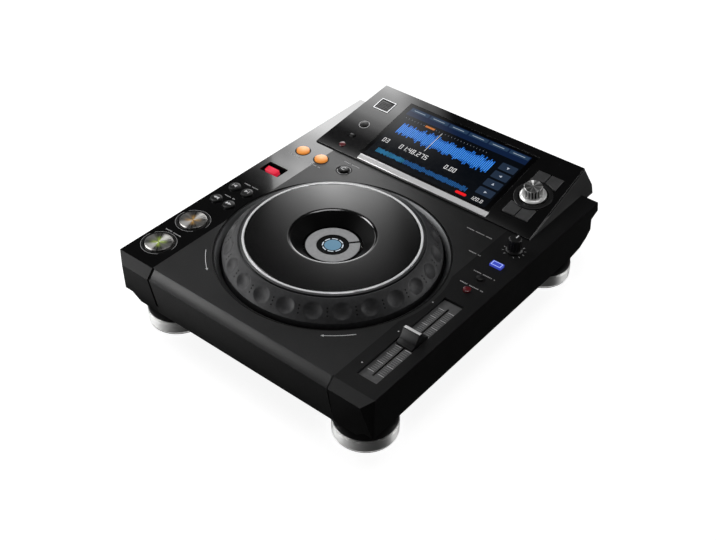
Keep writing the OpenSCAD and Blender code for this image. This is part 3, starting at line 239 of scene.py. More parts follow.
def noise(material, scale, stretch=(1.0, 1.0, 1.0)):
    """Noise that reads the piece's own place. Scale is in features per metre."""
    place = add_node(material, "ShaderNodeTexCoord")
    mapping = add_node(material, "ShaderNodeMapping", {"Scale": stretch})
    texture = add_node(material, "ShaderNodeTexNoise", {"Scale": scale, "Detail": 2.0})
    join(material, place.outputs["Object"], mapping.inputs["Vector"])
    join(material, mapping.outputs["Vector"], texture.inputs["Vector"])
    return texture.outputs["Fac"]


def between(material, factor, low, high, start=0.2, end=0.8):
    """Maps a factor from start..end to low..high."""
    ranged = add_node(material, "ShaderNodeMapRange", {
        "From Min": start, "From Max": end, "To Min": low, "To Max": high})
    join(material, factor, ranged.inputs["Value"])
    return ranged.outputs["Result"]


def blend_colours(material, factor, first, second):
    """A colour that goes from first to second with the factor."""
    mix = add_node(material, "ShaderNodeMix", data_type="RGBA")
    join(material, factor, mix.inputs["Factor"])
    mix.inputs["A"].default_value = (*first, 1.0)
    mix.inputs["B"].default_value = (*second, 1.0)
    return mix.outputs["Result"]


def roughen(material, scale, low, high, stretch=(1.0, 1.0, 1.0)):
    """Roughness that varies softly over the surface."""
    factor = noise(material, scale, stretch)
    join(material, between(material, factor, low, high), shader_of(material).inputs["Roughness"])


def grain(material, scale, height):
    """Fine relief from noise, height in metres."""
    bump = add_node(material, "ShaderNodeBump", {"Strength": 1.0, "Distance": height})
    join(material, noise(material, scale), bump.inputs["Height"])
    join(material, bump.outputs["Normal"], shader_of(material).inputs["Normal"])


def tone(material, scale, first, second):
    """Base colour that drifts between two tones."""
    factor = between(material, noise(material, scale), 0.0, 1.0)
    join(material, blend_colours(material, factor, first, second),
         shader_of(material).inputs["Base Color"])


def scaled(base, by):
    """A colour times a factor, no part over 1."""
    return tuple(min(1.0, part * by) for part in base)


# Finishes by name. base: a setting's name or a linear colour, times share; roughness, and the
# shader's other sockets. tones: scale of the drift in colour, and its two ends as shares of the
# base or as colours. spread: scale of the drift in roughness and its two ends. relief: scale of
# the grain, and its depth as a share of the setting.
FINISHES = {
    # Satin moulded plastic with a fine spark-eroded grain
    "deck_plastic": {"base": "deck", "roughness": 0.38, "Specular_IOR_Level": 0.4,
                     "tones": (900, 0.7, 1.4), "spread": (45, 0.36, 0.42), "relief": (1500, 1.6)},
    # Smoother black plastic of the right side and the rear
    "side_plastic": {"base": "side", "roughness": 0.4, "Specular_IOR_Level": 0.2,
                     "tones": (700, 0.8, 1.25), "spread": (30, 0.34, 0.44),
                     "relief": (2200, 0.5)},
    # Side plastic made lighter along its upper edge: a painted highlight
    "edge_plastic": {"base": "side", "share": 5.0, "roughness": 0.3, "Specular_IOR_Level": 0.6,
                     "tones": (120, 0.8, 1.25), "spread": (60, 0.25, 0.4)},
    # Piano black, with a faint haze where hands rest
    "gloss_plastic": {"base": "gloss", "roughness": 0.06, "Coat_Weight": 0.8,
                      "Coat_Roughness": 0.04, "tones": (60, 0.8, 1.3), "spread": (22, 0.05, 0.13)},
    # Dull black of the recesses round the buttons
    "recess_plastic": {"base": "gloss", "share": 0.6, "roughness": 0.5,
                       "Specular_IOR_Level": 0.15, "tones": (400, 0.7, 1.4)},
    # Powder coat on the steel floor pan
    "pan_paint": {"base": (0.02, 0.02, 0.021), "roughness": 0.55,
                  "tones": (500, (0.016, 0.016, 0.017), (0.026, 0.026, 0.027)),
                  "relief": (1800, 1.5)},
    # Chromed skirts of the feet
    "polished_chrome": {"base": "chrome", "roughness": 0.48, "Metallic": 1.0, "Anisotropic": 0.95,
                        "spread": (30, 0.44, 0.52, (1.0, 1.0, 14.0))},
    # Bright lacquered metal of the selector
    "selector_bright": {"base": "chrome", "roughness": 0.35, "Metallic": 0.55,
                        "spread": (200, 0.3, 0.4)},
    # Brushed metal that lines the well
    "ring_metal": {"base": (0.14, 0.142, 0.145), "roughness": 0.45, "Metallic": 1.0,
                   "spread": (60, 0.42, 0.5, (1.0, 1.0, 8.0))},
    # Matte rubbery plastic of the wheel's ring, and the satin grey of its collar
    "grip_rubber": {"base": "grip", "roughness": 0.5, "Specular_IOR_Level": 0.3,
                    "tones": (260, 0.7, 1.35), "spread": (70, 0.42, 0.58),
                    "relief": (1300, 1.25)},
    "collar_plastic": {"base": "grip", "share": 1.5, "roughness": 0.32,
                       "tones": (200, 0.85, 1.15)},
    # Lacquered pale ring
    "trim_white": {"base": "white", "roughness": 0.2, "Coat_Weight": 0.3,
                   "spread": (50, 0.12, 0.22)},
    # Polished black of the top plate, and the darker, duller wall of its dish
    "platter_black": {"base": (0.003, 0.003, 0.0031), "roughness": 0.12,
                      "Specular_IOR_Level": 1.0, "spread": (40, 0.115, 0.125)},
    "dish_black": {"base": (0.0015, 0.0015, 0.0016), "roughness": 0.4,
                   "Specular_IOR_Level": 0.05, "spread": (60, 0.36, 0.46)},
    # Black of the small domes, and satin black of the knobs and the fader cap
    "button_black": {"base": (0.004, 0.004, 0.0042), "roughness": 0.35,
                     "Specular_IOR_Level": 0.3, "spread": (300, 0.3, 0.4)},
    "knob_black": {"base": (0.008, 0.008, 0.0084), "roughness": 0.36,
                   "Specular_IOR_Level": 0.22, "tones": (600, 0.7, 1.4), "relief": (3000, 0.5)},
    # Dark red of the small buttons
    "hold_red": {"base": (0.11, 0.006, 0.01), "roughness": 0.25, "Coat_Weight": 0.4,
                 "tones": (500, (0.08, 0.004, 0.008), (0.15, 0.009, 0.014))},
    # Printing ink, and the thinner ink of the fine marks
    "print_white": {"base": (0.68, 0.68, 0.69), "roughness": 0.5,
                    "tones": (1500, (0.6, 0.6, 0.61), (0.76, 0.76, 0.77))},
    "print_grey": {"base": (0.38, 0.38, 0.385), "roughness": 0.5,
                   "tones": (1500, (0.33, 0.33, 0.335), (0.43, 0.43, 0.435))},
    # Pale strip along the lever's slot: a painted highlight of its edge
    "slot_edge": {"base": (0.16, 0.19, 0.17), "roughness": 0.4,
                  "tones": (400, (0.13, 0.16, 0.14), (0.2, 0.23, 0.21))},
    # Satin scale plate of the fader, and the bright band on its cap
    "plate_grey": {"base": (0.085, 0.085, 0.086), "roughness": 0.5, "Specular_IOR_Level": 0.4,
                   "tones": (300, 0.8, 1.2), "spread": (80, 0.34, 0.46)},
    "band_metal": {"base": (0.75, 0.75, 0.75), "roughness": 0.42, "Metallic": 0.3,
                   "spread": (200, 0.38, 0.48, (8.0, 1.0, 1.0))},
    # Bright strip before the screen
    "strip_metal": {"base": (0.88, 0.88, 0.88), "roughness": 0.35, "Metallic": 0.9,
                    "spread": (12, 0.32, 0.38)},
    # Satin grey keys round the selector
    "key_plastic": {"base": "key", "roughness": 0.35, "Coat_Weight": 0.2,
                    "tones": (200, 0.75, 1.25), "spread": (120, 0.28, 0.42)},
    # Black mirror of the touch glass
    "screen_glass": {"base": (0.0012, 0.0012, 0.0015), "roughness": 0.08,
                     "Specular_IOR_Level": 0.3, "spread": (30, 0.06, 0.1)},
    # White light frame, and the lit grey of the wheel's display
    "lit_white": {"base": (0.8, 0.8, 0.8), "roughness": 0.3,
                  "Emission_Color": (0.95, 0.97, 1.0, 1.0), "Emission_Strength": 0.55,
                  "spread": (300, 0.25, 0.4)},
    "display_grey": {"base": (0.3, 0.3, 0.305), "roughness": 0.45, "Specular_IOR_Level": 0.3,
                     "Emission_Color": (0.9, 0.92, 0.95, 1.0), "Emission_Strength": 0.06,
                     "tones": (300, 0.85, 1.1)},
    # Nickel-plated sheet of the sockets, and blackened screws
    "plated_steel": {"base": (0.5, 0.49, 0.47), "roughness": 0.28, "Metallic": 1.0,
                     "spread": (150, 0.2, 0.36)},
    "dark_steel": {"base": (0.07, 0.07, 0.072), "roughness": 0.35, "Metallic": 1.0,
                   "spread": (250, 0.28, 0.42)},
    # Gears, and the soles of the feet
    "nylon": {"base": (0.7, 0.69, 0.64), "roughness": 0.45, "Subsurface_Weight": 0.05,
              "tones": (200, (0.64, 0.63, 0.58), (0.75, 0.74, 0.69))},
    "foot_rubber": {"base": (0.01, 0.01, 0.01), "roughness": 0.75,
                    "tones": (900, (0.007, 0.007, 0.007), (0.015, 0.015, 0.015)),
                    "relief": (1500, 1.25)},
}


@functools.cache
def finish(name):
    """A material from the table of finishes."""
    looks = dict(FINISHES[name])
    base = looks.pop("base")
    base = scaled(getattr(colours(), base) if isinstance(base, str) else base,
                  looks.pop("share", 1.0))
    tones, spread, relief = (looks.pop(key, None) for key in ("tones", "spread", "relief"))
    material = plain(name, base, looks.pop("roughness"), **looks)
    if tones:
        ends = [end if isinstance(end, tuple) else scaled(base, end) for end in tones[1:]]
        tone(material, tones[0], *ends)
    if spread:
        roughen(material, *spread)
    if relief:
        grain(material, relief[0], relief[1] * sizes().grain)
    return material


@functools.cache
def polished_chrome():
    """Chrome with its highlights drawn upright, as on turned skirts."""
    material = finish("polished_chrome")
    upright = add_node(material, "ShaderNodeCombineXYZ", {"Z": 1.0})
    join(material, upright.outputs["Vector"], shader_of(material).inputs["Tangent"])
    return material


def flat_place(material, centre):
    """Place relative to a centre, in metres and without its height."""
    place = add_node(material, "ShaderNodeTexCoord")
    mapping = add_node(material, "ShaderNodeMapping", {"Location": tuple(-centre * MM)})
    join(material, place.outputs["Object"], mapping.inputs["Vector"])
    flat = add_node(material, "ShaderNodeVectorMath", {1: (1.0, 1.0, 0.0)}, operation="MULTIPLY")
    join(material, mapping.outputs["Vector"], flat.inputs[0])
    return flat.outputs["Vector"]


def turned(material, centre):
    """Stretches highlights towards and away from a centre, as on turned metal."""
    join(material, flat_place(material, centre), shader_of(material).inputs["Tangent"])


def polar_angle(material, centre):
    """Angle round a centre as 0..1, and the distance from it in metres."""
    flat = flat_place(material, centre)
    angle = add_node(material, "ShaderNodeTexGradient", gradient_type="RADIAL")
    join(material, flat, angle.inputs["Vector"])
    length = add_node(material, "ShaderNodeVectorMath", operation="LENGTH")
    join(material, flat, length.inputs[0])
    return angle.outputs["Fac"], length.outputs["Value"]


def computed(material, operation, *terms):
    """A Math node; each term is a socket or a number."""
    made = add_node(material, "ShaderNodeMath", operation=operation)
    for slot, term in enumerate(terms):
        if isinstance(term, bpy.types.NodeSocket):
            join(material, term, made.inputs[slot])
        else:
            made.inputs[slot].default_value = term
    return made.outputs[0]


def ramp(material, factor, stops):
    """Grey level by factor, from (position, level) pairs in rising order."""
    made = add_node(material, "ShaderNodeValToRGB")
    made.color_ramp.interpolation = "EASE"
    elements = made.color_ramp.elements
    elements.remove(elements[0])
    elements[0].position = stops[-1][0]
    elements[0].color = (stops[-1][1],) * 3 + (1,)
    for position, level in stops[:-1]:
        elements.new(position).color = (level,) * 3 + (1,)
    join(material, factor, made.inputs["Fac"])
    return made.outputs["Color"]


# Painted light and dark wedge shapes on spun metal, standing in for its highlight and shade, over
# half a turn: share of the half turn and level.
PAINTED_WEDGES = ((0.0, 0.82), (0.05, 1.0), (0.13, 0.95), (0.19, 0.42), (0.24, 0.42), (0.31, 0.95),
          (0.45, 1.0), (0.55, 0.9), (0.63, 0.3), (0.72, 0.22), (0.83, 0.3), (0.92, 0.7),
          (1.0, 0.82))
# The lit star of a button: its arms, the turn that lays the first one along the painted dark
# wedge, and its reach in metres
STAR_ARMS = 4
STAR_TURN = math.radians(154.6)
STAR_R = 0.0095


def spun_metal(name, base, centre, rays, contrast):
    """Metal turned round a centre: fine lines that fan out, with stretched highlights.
    Returns it with the angle, the distance and the fan of lines as sockets."""
    material = plain(name, base, 0.3, Metallic=1.0, Anisotropic=0.8)
    turned(material, centre)
    angle, distance = polar_angle(material, centre)
    lines = add_node(material, "ShaderNodeTexNoise", {"Scale": rays, "Detail": 1.0},
                     noise_dimensions="1D")
    join(material, angle, lines.inputs["W"])
    fan = between(material, lines.outputs["Fac"], 1.0 - contrast, 1.0)
    join(material, between(material, lines.outputs["Fac"], 0.26, 0.36),
         shader_of(material).inputs["Roughness"])
    return material, angle, distance, fan


def toned(material, base, level):
    """Base colour scaled by a level between 0 and 1."""
    join(material, blend_colours(material, level, (0, 0, 0), base),
         shader_of(material).inputs["Base Color"])


def button_metal(name, base, centre, glow):
    """Spun button metal with broad light and dark wedge shapes painted in as highlight and shade,
    and a lit star at its middle.
    """
    material, angle, distance, fan = spun_metal(name, base, centre, 40.0, 0.12)
    half_turn = computed(material, "FRACT", computed(material, "MULTIPLY", angle, 2.0))
    # Light and dark wedge shapes painted into the base colour, standing in for highlight and shade
    painted_wedge_light = ramp(material, half_turn, PAINTED_WEDGES)
    toned(material, base, computed(material, "MULTIPLY", painted_wedge_light, fan))
    swing = computed(material, "COSINE", computed(
        material, "MULTIPLY_ADD", angle, STAR_ARMS * 2 * math.pi, -STAR_TURN))
    arms = computed(material, "POWER", between(material, swing, 0.2, 1.0, -1.0, 1.0), 1.6)
    fade = computed(material, "POWER", between(material, distance, 1.0, 0.0, 0.0, STAR_R), 1.3)
    shader = shader_of(material)
    shader.inputs["Emission Color"].default_value = (*glow, 1.0)
    join(material, computed(material, "MULTIPLY", arms, fade), shader.inputs["Emission Strength"])
    return material


def lit_plastic(name, base, strength, centre, reach, core):
    """Translucent plastic lit from below: brighter at its middle, deeper at its rim."""
    material = plain(name, scaled(base, 0.5), 0.26, Specular_IOR_Level=0.35)
    shader = shader_of(material)
    distance = polar_angle(material, centre)[1]
    fade = between(material, distance, 1.0, 0.0, 0.0, reach * MM)
    join(material, blend_colours(material, fade, base, core), shader.inputs["Emission Color"])
    shader.inputs["Emission Strength"].default_value = strength
    roughen(material, 250, 0.18, 0.3)
    return material


@functools.cache
def lit_screen(name, light, strength=1.0):
    """One lit colour of a screen's picture."""
    material = plain("screen_" + name, (0.001, 0.001, 0.001), 0.1, Specular_IOR_Level=0.3,
                     Emission_Color=(*light, 1.0), Emission_Strength=strength)
    roughen(material, 200, 0.08, 0.14)
    return material


@functools.cache
def board_green():
    """Solder mask with a hint of its copper tracks."""
    material = plain("board_green", (0.01, 0.07, 0.03), 0.3)
    cells = add_node(material, "ShaderNodeTexVoronoi", {"Scale": 160.0}, distance="CHEBYCHEV")
    place = add_node(material, "ShaderNodeTexCoord")
    join(material, place.outputs["Object"], cells.inputs["Vector"])
    factor = between(material, cells.outputs["Distance"], 0.0, 1.0, 0.2, 0.5)
    join(material, blend_colours(material, factor, (0.012, 0.09, 0.035), (0.006, 0.045, 0.02)),
         shader_of(material).inputs["Base Color"])
    return material


# ---- Making and placing pieces ----

# Area of a wide face in square millimetres, the bend from which an edge between two of them is
# rounded, and the bend up to which a face lies flush against one
WIDE_FACE = 150.0
SHALLOW = math.radians(3.0)
FLUSH = math.radians(0.5)
# An edge has room if the edges that meet it are this many times longer than its rounding
ROOM = 2.5


def new_piece(name, bm, materials, sharp=50.0, place=None):
    """Turns a bmesh in millimetres into an object with its place in its mesh.
    Its large flat faces shade flat, and its rounded edges take up the turn."""
    bm.transform(Matrix.Scale(MM, 4) @ (place or Matrix.Identity(4)))
    mesh = bpy.data.meshes.new(name)
    flat = flat_faces(bm)
    bm.to_mesh(mesh)
    bm.free()
    for material in materials:
        mesh.materials.append(material)
    mesh.shade_smooth()
    mesh.set_sharp_from_angle(angle=math.radians(sharp))
    shade_flat(mesh, flat, math.radians(sharp))
    made = bpy.data.objects.new(name, mesh)
    bpy.context.scene.collection.objects.link(made)
    return made


def flat_faces(bm):
    """Numbers of the wide faces and of those that lie flush against them."""
    bm.normal_update()
    bm.faces.index_update()
    found = {f for f in bm.faces if f.calc_area() > WIDE_FACE * MM * MM}
    front = list(found)
    while front:
        face = front.pop()
        for other in {f for e in face.edges for f in e.link_faces} - found:
            if other.normal.angle(face.normal, math.pi) < FLUSH:
                found.add(other)
                front.append(other)
    return {f.index for f in found}


def shade_flat(mesh, flat, sharp):
    """Flat faces shade flat, and the rounded edges between them take up the whole turn."""
    if not flat:
        return
    near = {}
    for index in flat:
        for vertex in mesh.polygons[index].vertices:
            near.setdefault(vertex, []).append(mesh.polygons[index].normal.copy())
    normals = [corner.vector.copy() for corner in mesh.corner_normals]
    for face in mesh.polygons:
        for corner in face.loop_indices:
            if face.index in flat:
                normals[corner] = face.normal.copy()
                continue
            around = near.get(mesh.loops[corner].vertex_index, ())
            fits = [normal for normal in around if normal.angle(face.normal, math.pi) < sharp]
            if fits:
                normals[corner] = max(fits, key=normals[corner].dot)
    mesh.normals_split_custom_set(normals)


def stands_for(made, *nodes):
    """The piece takes its CAD nodes' place and body, and hides them."""
    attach(made, BODY_OF[nodes[0]])
    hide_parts(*nodes)
    return made


def rides_with(made, node):
    """A small part that moves with a CAD node's body."""
    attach(made, BODY_OF[node])
    return made


def paint(node, material):
    """Gives a CAD node that keeps its own mesh a finish."""
    target = frame["nodes"][node]
    target.data.materials.clear()
    target.data.materials.append(material)


def merged_copy(node):
    """A CAD node's mesh in millimetres, merged and with its flat faces whole."""
    bm = bmesh.new()
    bm.from_mesh(frame["nodes"][node].data)
    bm.transform(Matrix.Scale(1 / MM, 4))
    bmesh.ops.remove_doubles(bm, verts=bm.verts, dist=0.002)
    bmesh.ops.dissolve_limit(bm, angle_limit=math.radians(0.6), verts=bm.verts, edges=bm.edges,
                             use_dissolve_boundaries=False)
    return bm


def soften(bm, width, segments=2, angle=28.0, chosen=None):
    """Rounds the edges that are sharper than the angle, and shallower ones between wide faces.
    Edges with room round them go first, because the tightest place sets the width of a pass."""
    def turns(e):
        bend = e.calc_face_angle(0.0)
        return bend > math.radians(angle) or (
            bend > SHALLOW and min(f.calc_area() for f in e.link_faces) > WIDE_FACE)

    def roomy(e):
        return all(near.calc_length() > ROOM * width for v in e.verts for near in v.link_edges)

    turn = bm.edges.layers.int.new("rounding")
    for e in bm.edges:
        if len(e.link_faces) == 2 and turns(e) and (chosen is None or chosen(e)):
            e[turn] = 1 if roomy(e) else 2
    for number in (1, 2):
        sharp = [e for e in bm.edges if e[turn] == number and len(e.link_faces) == 2]
        for e in sharp:
            e[turn] = 0
        bmesh.ops.bevel(bm, geom=sharp, offset=width, offset_type="OFFSET", segments=segments,
                        profile=0.5, affect="EDGES", clamp_overlap=True, material=-1)
    bm.edges.layers.int.remove(turn)


def softened(node, name, material, width=0.4, segments=2, angle=28.0):
    """A CAD node with rounded edges, standing for it."""
    bm = merged_copy(node)
    soften(bm, width, segments, angle)
    return stands_for(new_piece(name, bm, [material]), node)


def spun(profile, steps):
    """A bmesh that turns a closed outline of radius and height round the Z axis."""
    bm = bmesh.new()
    verts = [bm.verts.new((r, 0.0, z)) for r, z in profile]
    edges = [bm.edges.new(pair) for pair in zip(verts, verts[1:])]
    edges.append(bm.edges.new((verts[-1], verts[0])))
    bmesh.ops.spin(bm, geom=verts + edges, cent=(0, 0, 0), axis=(0, 0, 1),
                   angle=2 * math.pi, steps=steps, use_merge=True)
    bmesh.ops.remove_doubles(bm, verts=bm.verts, dist=0.001)
    bmesh.ops.recalc_face_normals(bm, faces=bm.faces)
    return bm


def slab(bm, outline, low, high, material=0):
    """Adds a flat shape of some thickness to a bmesh; the outline runs anticlockwise."""
    verts = [bm.verts.new((x, y, low)) for x, y in outline]
    face = bm.faces.new(verts)
    face.material_index = material
    grown = bmesh.ops.extrude_face_region(bm, geom=[face])["geom"]
    raised = [v for v in grown if isinstance(v, bmesh.types.BMVert)]
    bmesh.ops.translate(bm, verts=raised, vec=(0, 0, high - low))
    near = {f for v in verts + raised for f in v.link_faces}
    for side in near:
        side.material_index = material
    bmesh.ops.recalc_face_normals(bm, faces=list(near))


def rectangle(x0, y0, x1, y1):
    """Outline between two corners."""
    return [(x0, y0), (x1, y0), (x1, y1), (x0, y1)]


def rounded(x0, y0, x1, y1, r, steps=4):
    """Rectangle with round corners."""
    centres = [(x1 - r, y0 + r, -90), (x1 - r, y1 - r, 0), (x0 + r, y1 - r, 90),
               (x0 + r, y0 + r, 180)]
    return [(cx + r * math.cos(math.radians(a + i * 90 / steps)),
             cy + r * math.sin(math.radians(a + i * 90 / steps)))
            for cx, cy, a in centres for i in range(steps + 1)]


def arc_band(radius, width, start, end, steps=24):
    """Outline of a band along an arc, angles in degrees."""
    turns = [math.radians(start + (end - start) * i / steps) for i in range(steps + 1)]
    outer, inner = ([(r * math.cos(a), r * math.sin(a)) for a in turns]
                    for r in (radius + width / 2, radius - width / 2))
    return outer + inner[::-1]


def triangle(x, y, size, heading):
    """Arrowhead centred on x, y that points along heading, in degrees."""
    return [(x + size * math.cos(math.radians(heading + a)),
             y + size * math.sin(math.radians(heading + a))) for a in (0, 130, 230)]


def moved(outline, dx, dy, turn=0.0):
    """An outline turned about its origin, then moved."""
    c, s = math.cos(math.radians(turn)), math.sin(math.radians(turn))
    return [(dx + x * c - y * s, dy + x * s + y * c) for x, y in outline]


def printed(name, outlines, material, place, node):
    """Ink marks in a plane, as thin as printing."""
    bm = bmesh.new()
    for outline in outlines:
        slab(bm, outline, -INK / 2, INK)
    return rides_with(new_piece(name, bm, [material], place=place), node)


def faces_where(made, index, test):
    """Gives a piece's faces that pass a test on their middle and normal another material."""
    for face in made.data.polygons:
        if test(face.center / MM, face.normal):
            face.material_index = index


# ---- Case ----

def make_covers():
    """Deck, side covers, rear panel and floor pan."""
    edge = sizes().edge / MM

    bm = merged_copy("top_cover")
    for side in (-1, 1):
        bmesh.ops.bisect_plane(bm, geom=bm.verts[:] + bm.edges[:] + bm.faces[:], dist=0.001,
                               plane_co=(side * SEAM_X, 0, 0), plane_no=(1, 0, 0))
    soften(bm, edge)
    looks = [finish("deck_plastic"), finish("gloss_plastic"), finish("recess_plastic")]
    centre = stands_for(new_piece("centre_deck", bm, looks), "top_cover")
    faces_where(centre, 1, lambda at, n: at.x < -SEAM_X and at.z > DECK_Z - 4)
    faces_where(centre, 2, in_button_recess)

    left = softened("left_cover", "left_side", finish("gloss_plastic"), edge)
    left.data.materials.append(finish("recess_plastic"))
    left.data.materials.append(finish("side_plastic"))
    faces_where(left, 1, in_button_recess)
    faces_where(left, 2, lambda at, n: n.y < -0.6 and at.z < DECK_Z - 0.6)
    right = softened("right_cover", "right_side", finish("side_plastic"), edge)
    # The bevel faces along the right side's upper edge take a lighter colour: a painted highlight
    right.data.materials.append(finish("edge_plastic"))
    faces_where(right, 1, lambda at, n: at.z > DECK_Z - 1 and n.x > 0.2 and 0.2 < n.z < 0.97)
    softened("rear_panel", "rear_plate", finish("side_plastic"), 0.3)
    softened("lower_case", "floor_pan", finish("pan_paint"), 0.2)
    paint("case_screws", finish("dark_steel"))


# Heights between which the floors and the walls of the button recesses lie, and how far out
# and forward of the wheel's middle there are such walls
RECESS_FLOOR = (DECK_Z - 3.1, DECK_Z - 0.4)
RECESS_WALL = (DECK_Z - 3.2, DECK_Z - 0.7)
RECESS_REACH = (150, 110)


def in_button_recess(at, normal):
    """Whether a face lies sunk just under the deck, round a button."""
    if RECESS_FLOOR[0] < at.z < RECESS_FLOOR[1] and normal.z > 0.5:
        return True
    return (RECESS_WALL[0] < at.z < RECESS_WALL[1] and abs(normal.z) < 0.2
            and abs(at.x) < RECESS_REACH[0] and at.y > JOG.y - RECESS_REACH[1])


def make_feet():
    """Four turned feet: column, bright skirt and rubber pad."""
    softened("foot_columns", "foot_posts", finish("side_plastic"), 0.3, angle=20)
    softened("foot_skirts", "foot_rings", polished_chrome(), 0.2, angle=20)
    softened("foot_pads", "foot_soles", finish("foot_rubber"), 0.2, angle=20)


# ---- Wheel ----

# The grip's slope: how far it bulges, and where along it the dimples and the dots lie
BULGE = 5.2
DIMPLE_SHARE = 0.47
DOT_SHARES = (0.3, 0.46, 0.62)


def grip_outline(rim):
    """Outline of the wheel's ring in two runs, up the grip's slope and back down the inside,
    and the direction that points out of the slope."""
    outer = half_width("jog_ring")
    white = half_width("jog_trim")
    web = DECK_Z - 14.0
    head = (white + 4.4, rim - 1.9)
    run = Vector((head[0] - outer, head[1] - DECK_Z))
    out = Vector((run.y, -run.x)).normalized()
    steps = 36
    slope = [(outer + run.x * t + out.x * BULGE * t * (1 - t),
              DECK_Z + run.y * t + out.y * BULGE * t * (1 - t))
             for t in (i / steps for i in range(steps + 1))]
    ledge = rim - 2.4
    inner = [(head[0] - 0.9, head[1]), (head[0] - 0.9, ledge - 1), (white + 2.1, ledge - 1),
             (white + 2.1, rim - 0.8), (white + 0.3, rim - 0.4), (white + 0.3, ledge),
             (white - 13, ledge), (white - 13, ledge - 2.5), (head[0] - 4.2, ledge - 2.5),
             (outer - 3, DECK_Z - 2), (outer - 3, web + 3), (36, web + 3), (36, web + 10),
             (32, web + 10), (32, web), (outer - 3, web), (outer - 3, web - 3.5),
             (outer, web - 3.5)]
    return slope, inner, out


def press_dimples(bm, slope, out):
    """Pushes the grip's points down into the balls that cut the dimples."""
    depth = sizes().dimple_depth / MM
    mouth = sizes().dimple / MM
    ball = (mouth * mouth + depth * depth) / (2 * depth)
    on_slope = Vector(slope[round(DIMPLE_SHARE * (len(slope) - 1))])
    centre = on_slope + out * (ball - depth)
    for i in range(sizes().dimples):
        turn = 2 * math.pi * i / sizes().dimples
        around = Vector((math.cos(turn), math.sin(turn), 0))
        push = -(around * out.x + Vector((0, 0, out.y)))
        middle_at = around * centre.x + Vector((0, 0, centre.y))
        for vert in bm.verts:
            gap = vert.co - middle_at
            if gap.length_squared >= ball * ball or vert.co.z < DECK_Z - 1:
                continue
            along = gap.dot(push)
            vert.co += push * (math.sqrt(along * along - gap.length_squared + ball * ball) - along)


def make_wheel():
    """Dimpled ring, white ring, top plate with its dish, and what carries them."""
    place = upright(JOG)
    rim = JOG.z
    slope, inner, out = grip_outline(rim)
    bm = spun(slope + inner, steps=576)
    press_dimples(bm, slope, out)
    grip = stands_for(new_piece("wheel_grip", bm, [finish("grip_rubber"), finish("collar_plastic")],
                                sharp=24, place=place), "jog_ring")
    faces_where(grip, 1, lambda at, n: at.z > rim - 3.6
                and (Vector((at.x - JOG.x, at.y - JOG.y)).length < slope[-1][0] - 0.2))
    make_grip_dots(slope, out, place)

    softened("jog_trim", "wheel_ring", finish("trim_white"), 0.35, 3, 20)
    make_plate(place, rim)
    lining = softened("well_ring", "well_lining", finish("ring_metal"), 0.3, 2, 20)
    lining.data.materials.append(finish("recess_plastic"))
    faces_where(lining, 1, lambda at, n: n.z > 0.6 and at.z > DECK_Z - 2)
    paint("jog_base", finish("recess_plastic"))
    paint("jog_bearing", finish("plated_steel"))
    paint("jog_gear", finish("nylon"))
    paint("encoder_gear", finish("nylon"))


def make_grip_dots(slope, out, place):
    """Three small raised dots between each pair of dimples."""
    bm = bmesh.new()
    count = sizes().dimples
    for i in range(count):
        turn = 2 * math.pi * (i + 0.5) / count
        for share in DOT_SHARES:
            r, z = slope[round(share * (len(slope) - 1))]
            spot = Vector((r * math.cos(turn), r * math.sin(turn), z))
            tilt = Matrix.Rotation(turn, 4, "Z") @ Matrix.Rotation(math.atan2(out.x, out.y), 4, "Y")
            bmesh.ops.create_icosphere(
                bm, subdivisions=1, radius=1.0,
                matrix=Matrix.Translation(spot) @ tilt @ Matrix.Diagonal((1, 1, 0.4, 1)))
    rides_with(new_piece("grip_dots", bm, [finish("recess_plastic")], 60, place), "jog_ring")


# Radius of the dish's mouth
DISH_R = 40.5


def make_plate(place, rim):
    """Top plate: a flat gloss ring that falls into the open dish."""
    radius = half_width("jog_plate")
    dish = DISH_R
    foot_r = half_width("centre_display") + 1.2
    foot = middle("centre_display").z
    shoulder = sizes().shoulder / MM
    under = rim - 2.0
    outline = [(foot_r, foot - 0.9), (dish - 1.2, under - 0.3), (radius, under),
               (radius, rim - 0.5), (radius - 0.4, rim - 0.3), (radius - 1.6, rim - 0.31),
               (dish + 2.2, rim - 0.68), (dish, rim - 0.7), (foot_r, foot + 0.5)]
    bm = spun(outline, steps=240)

    def at_shoulder(e):
        return all(abs(math.hypot(v.co.x, v.co.y) - dish) < 0.05 for v in e.verts)

    soften(bm, shoulder, 5, 10, at_shoulder)
    soften(bm, 0.25, 2, 20, lambda e: e.verts[0].co.z > rim - 1.0 and not at_shoulder(e))
    plate = stands_for(new_piece("top_plate", bm, [finish("platter_black"), finish("dish_black")],
                                 sharp=40, place=place), "jog_plate")
    faces_where(plate, 1, lambda at, n: math.hypot(at.x - JOG.x, at.y - JOG.y) < dish - shoulder)


def make_display():
    """Round display in the dish: dark face, open grey ring and a small centre picture."""
    paint("centre_display", finish("dish_black"))
    softened("display_mark", "open_ring", finish("display_grey"), 0.12, 2)
    disc = [arc_band(4.05, 7.9, 0, 359.9, 48)]
    arcs = [arc_band(9.6, 1.1, start, start + 34, 12) for start in range(10, 370, 45)]
    for name, shapes, light in (("disc", disc, (0.12, 0.26, 0.38)),
                                ("arcs", arcs, (0.62, 0.7, 0.78))):
        printed("display_" + name, shapes, lit_screen(name, light, 0.9),
                upright(JOG, middle("centre_display").z), "centre_display")


# ---- Buttons on the deck ----

# Rise of the domes: the plain ones, the small ones, and those on the pod
DOME = 0.6
SMALL_DOME = 0.4
POD_DOME = 0.3


def cap_outline(radius, top, low, dish):
    """Outline of a round cap with a dished or domed top and its stop flange."""
    steps = 8
    edge = 0.45
    rim = top + min(dish, 0.0)
    crown = [((radius - edge) * (1 - t), rim - dish * (1 - (1 - t) ** 2))
             for t in (i / steps for i in range(steps + 1))]
    return [(0.0, low - 1.4), (radius + FLANGE, low - 1.4), (radius + FLANGE, low - 0.2),
            (radius, low - 0.2), (radius, rim - edge), (radius - 0.12, rim - 0.12)] + crown


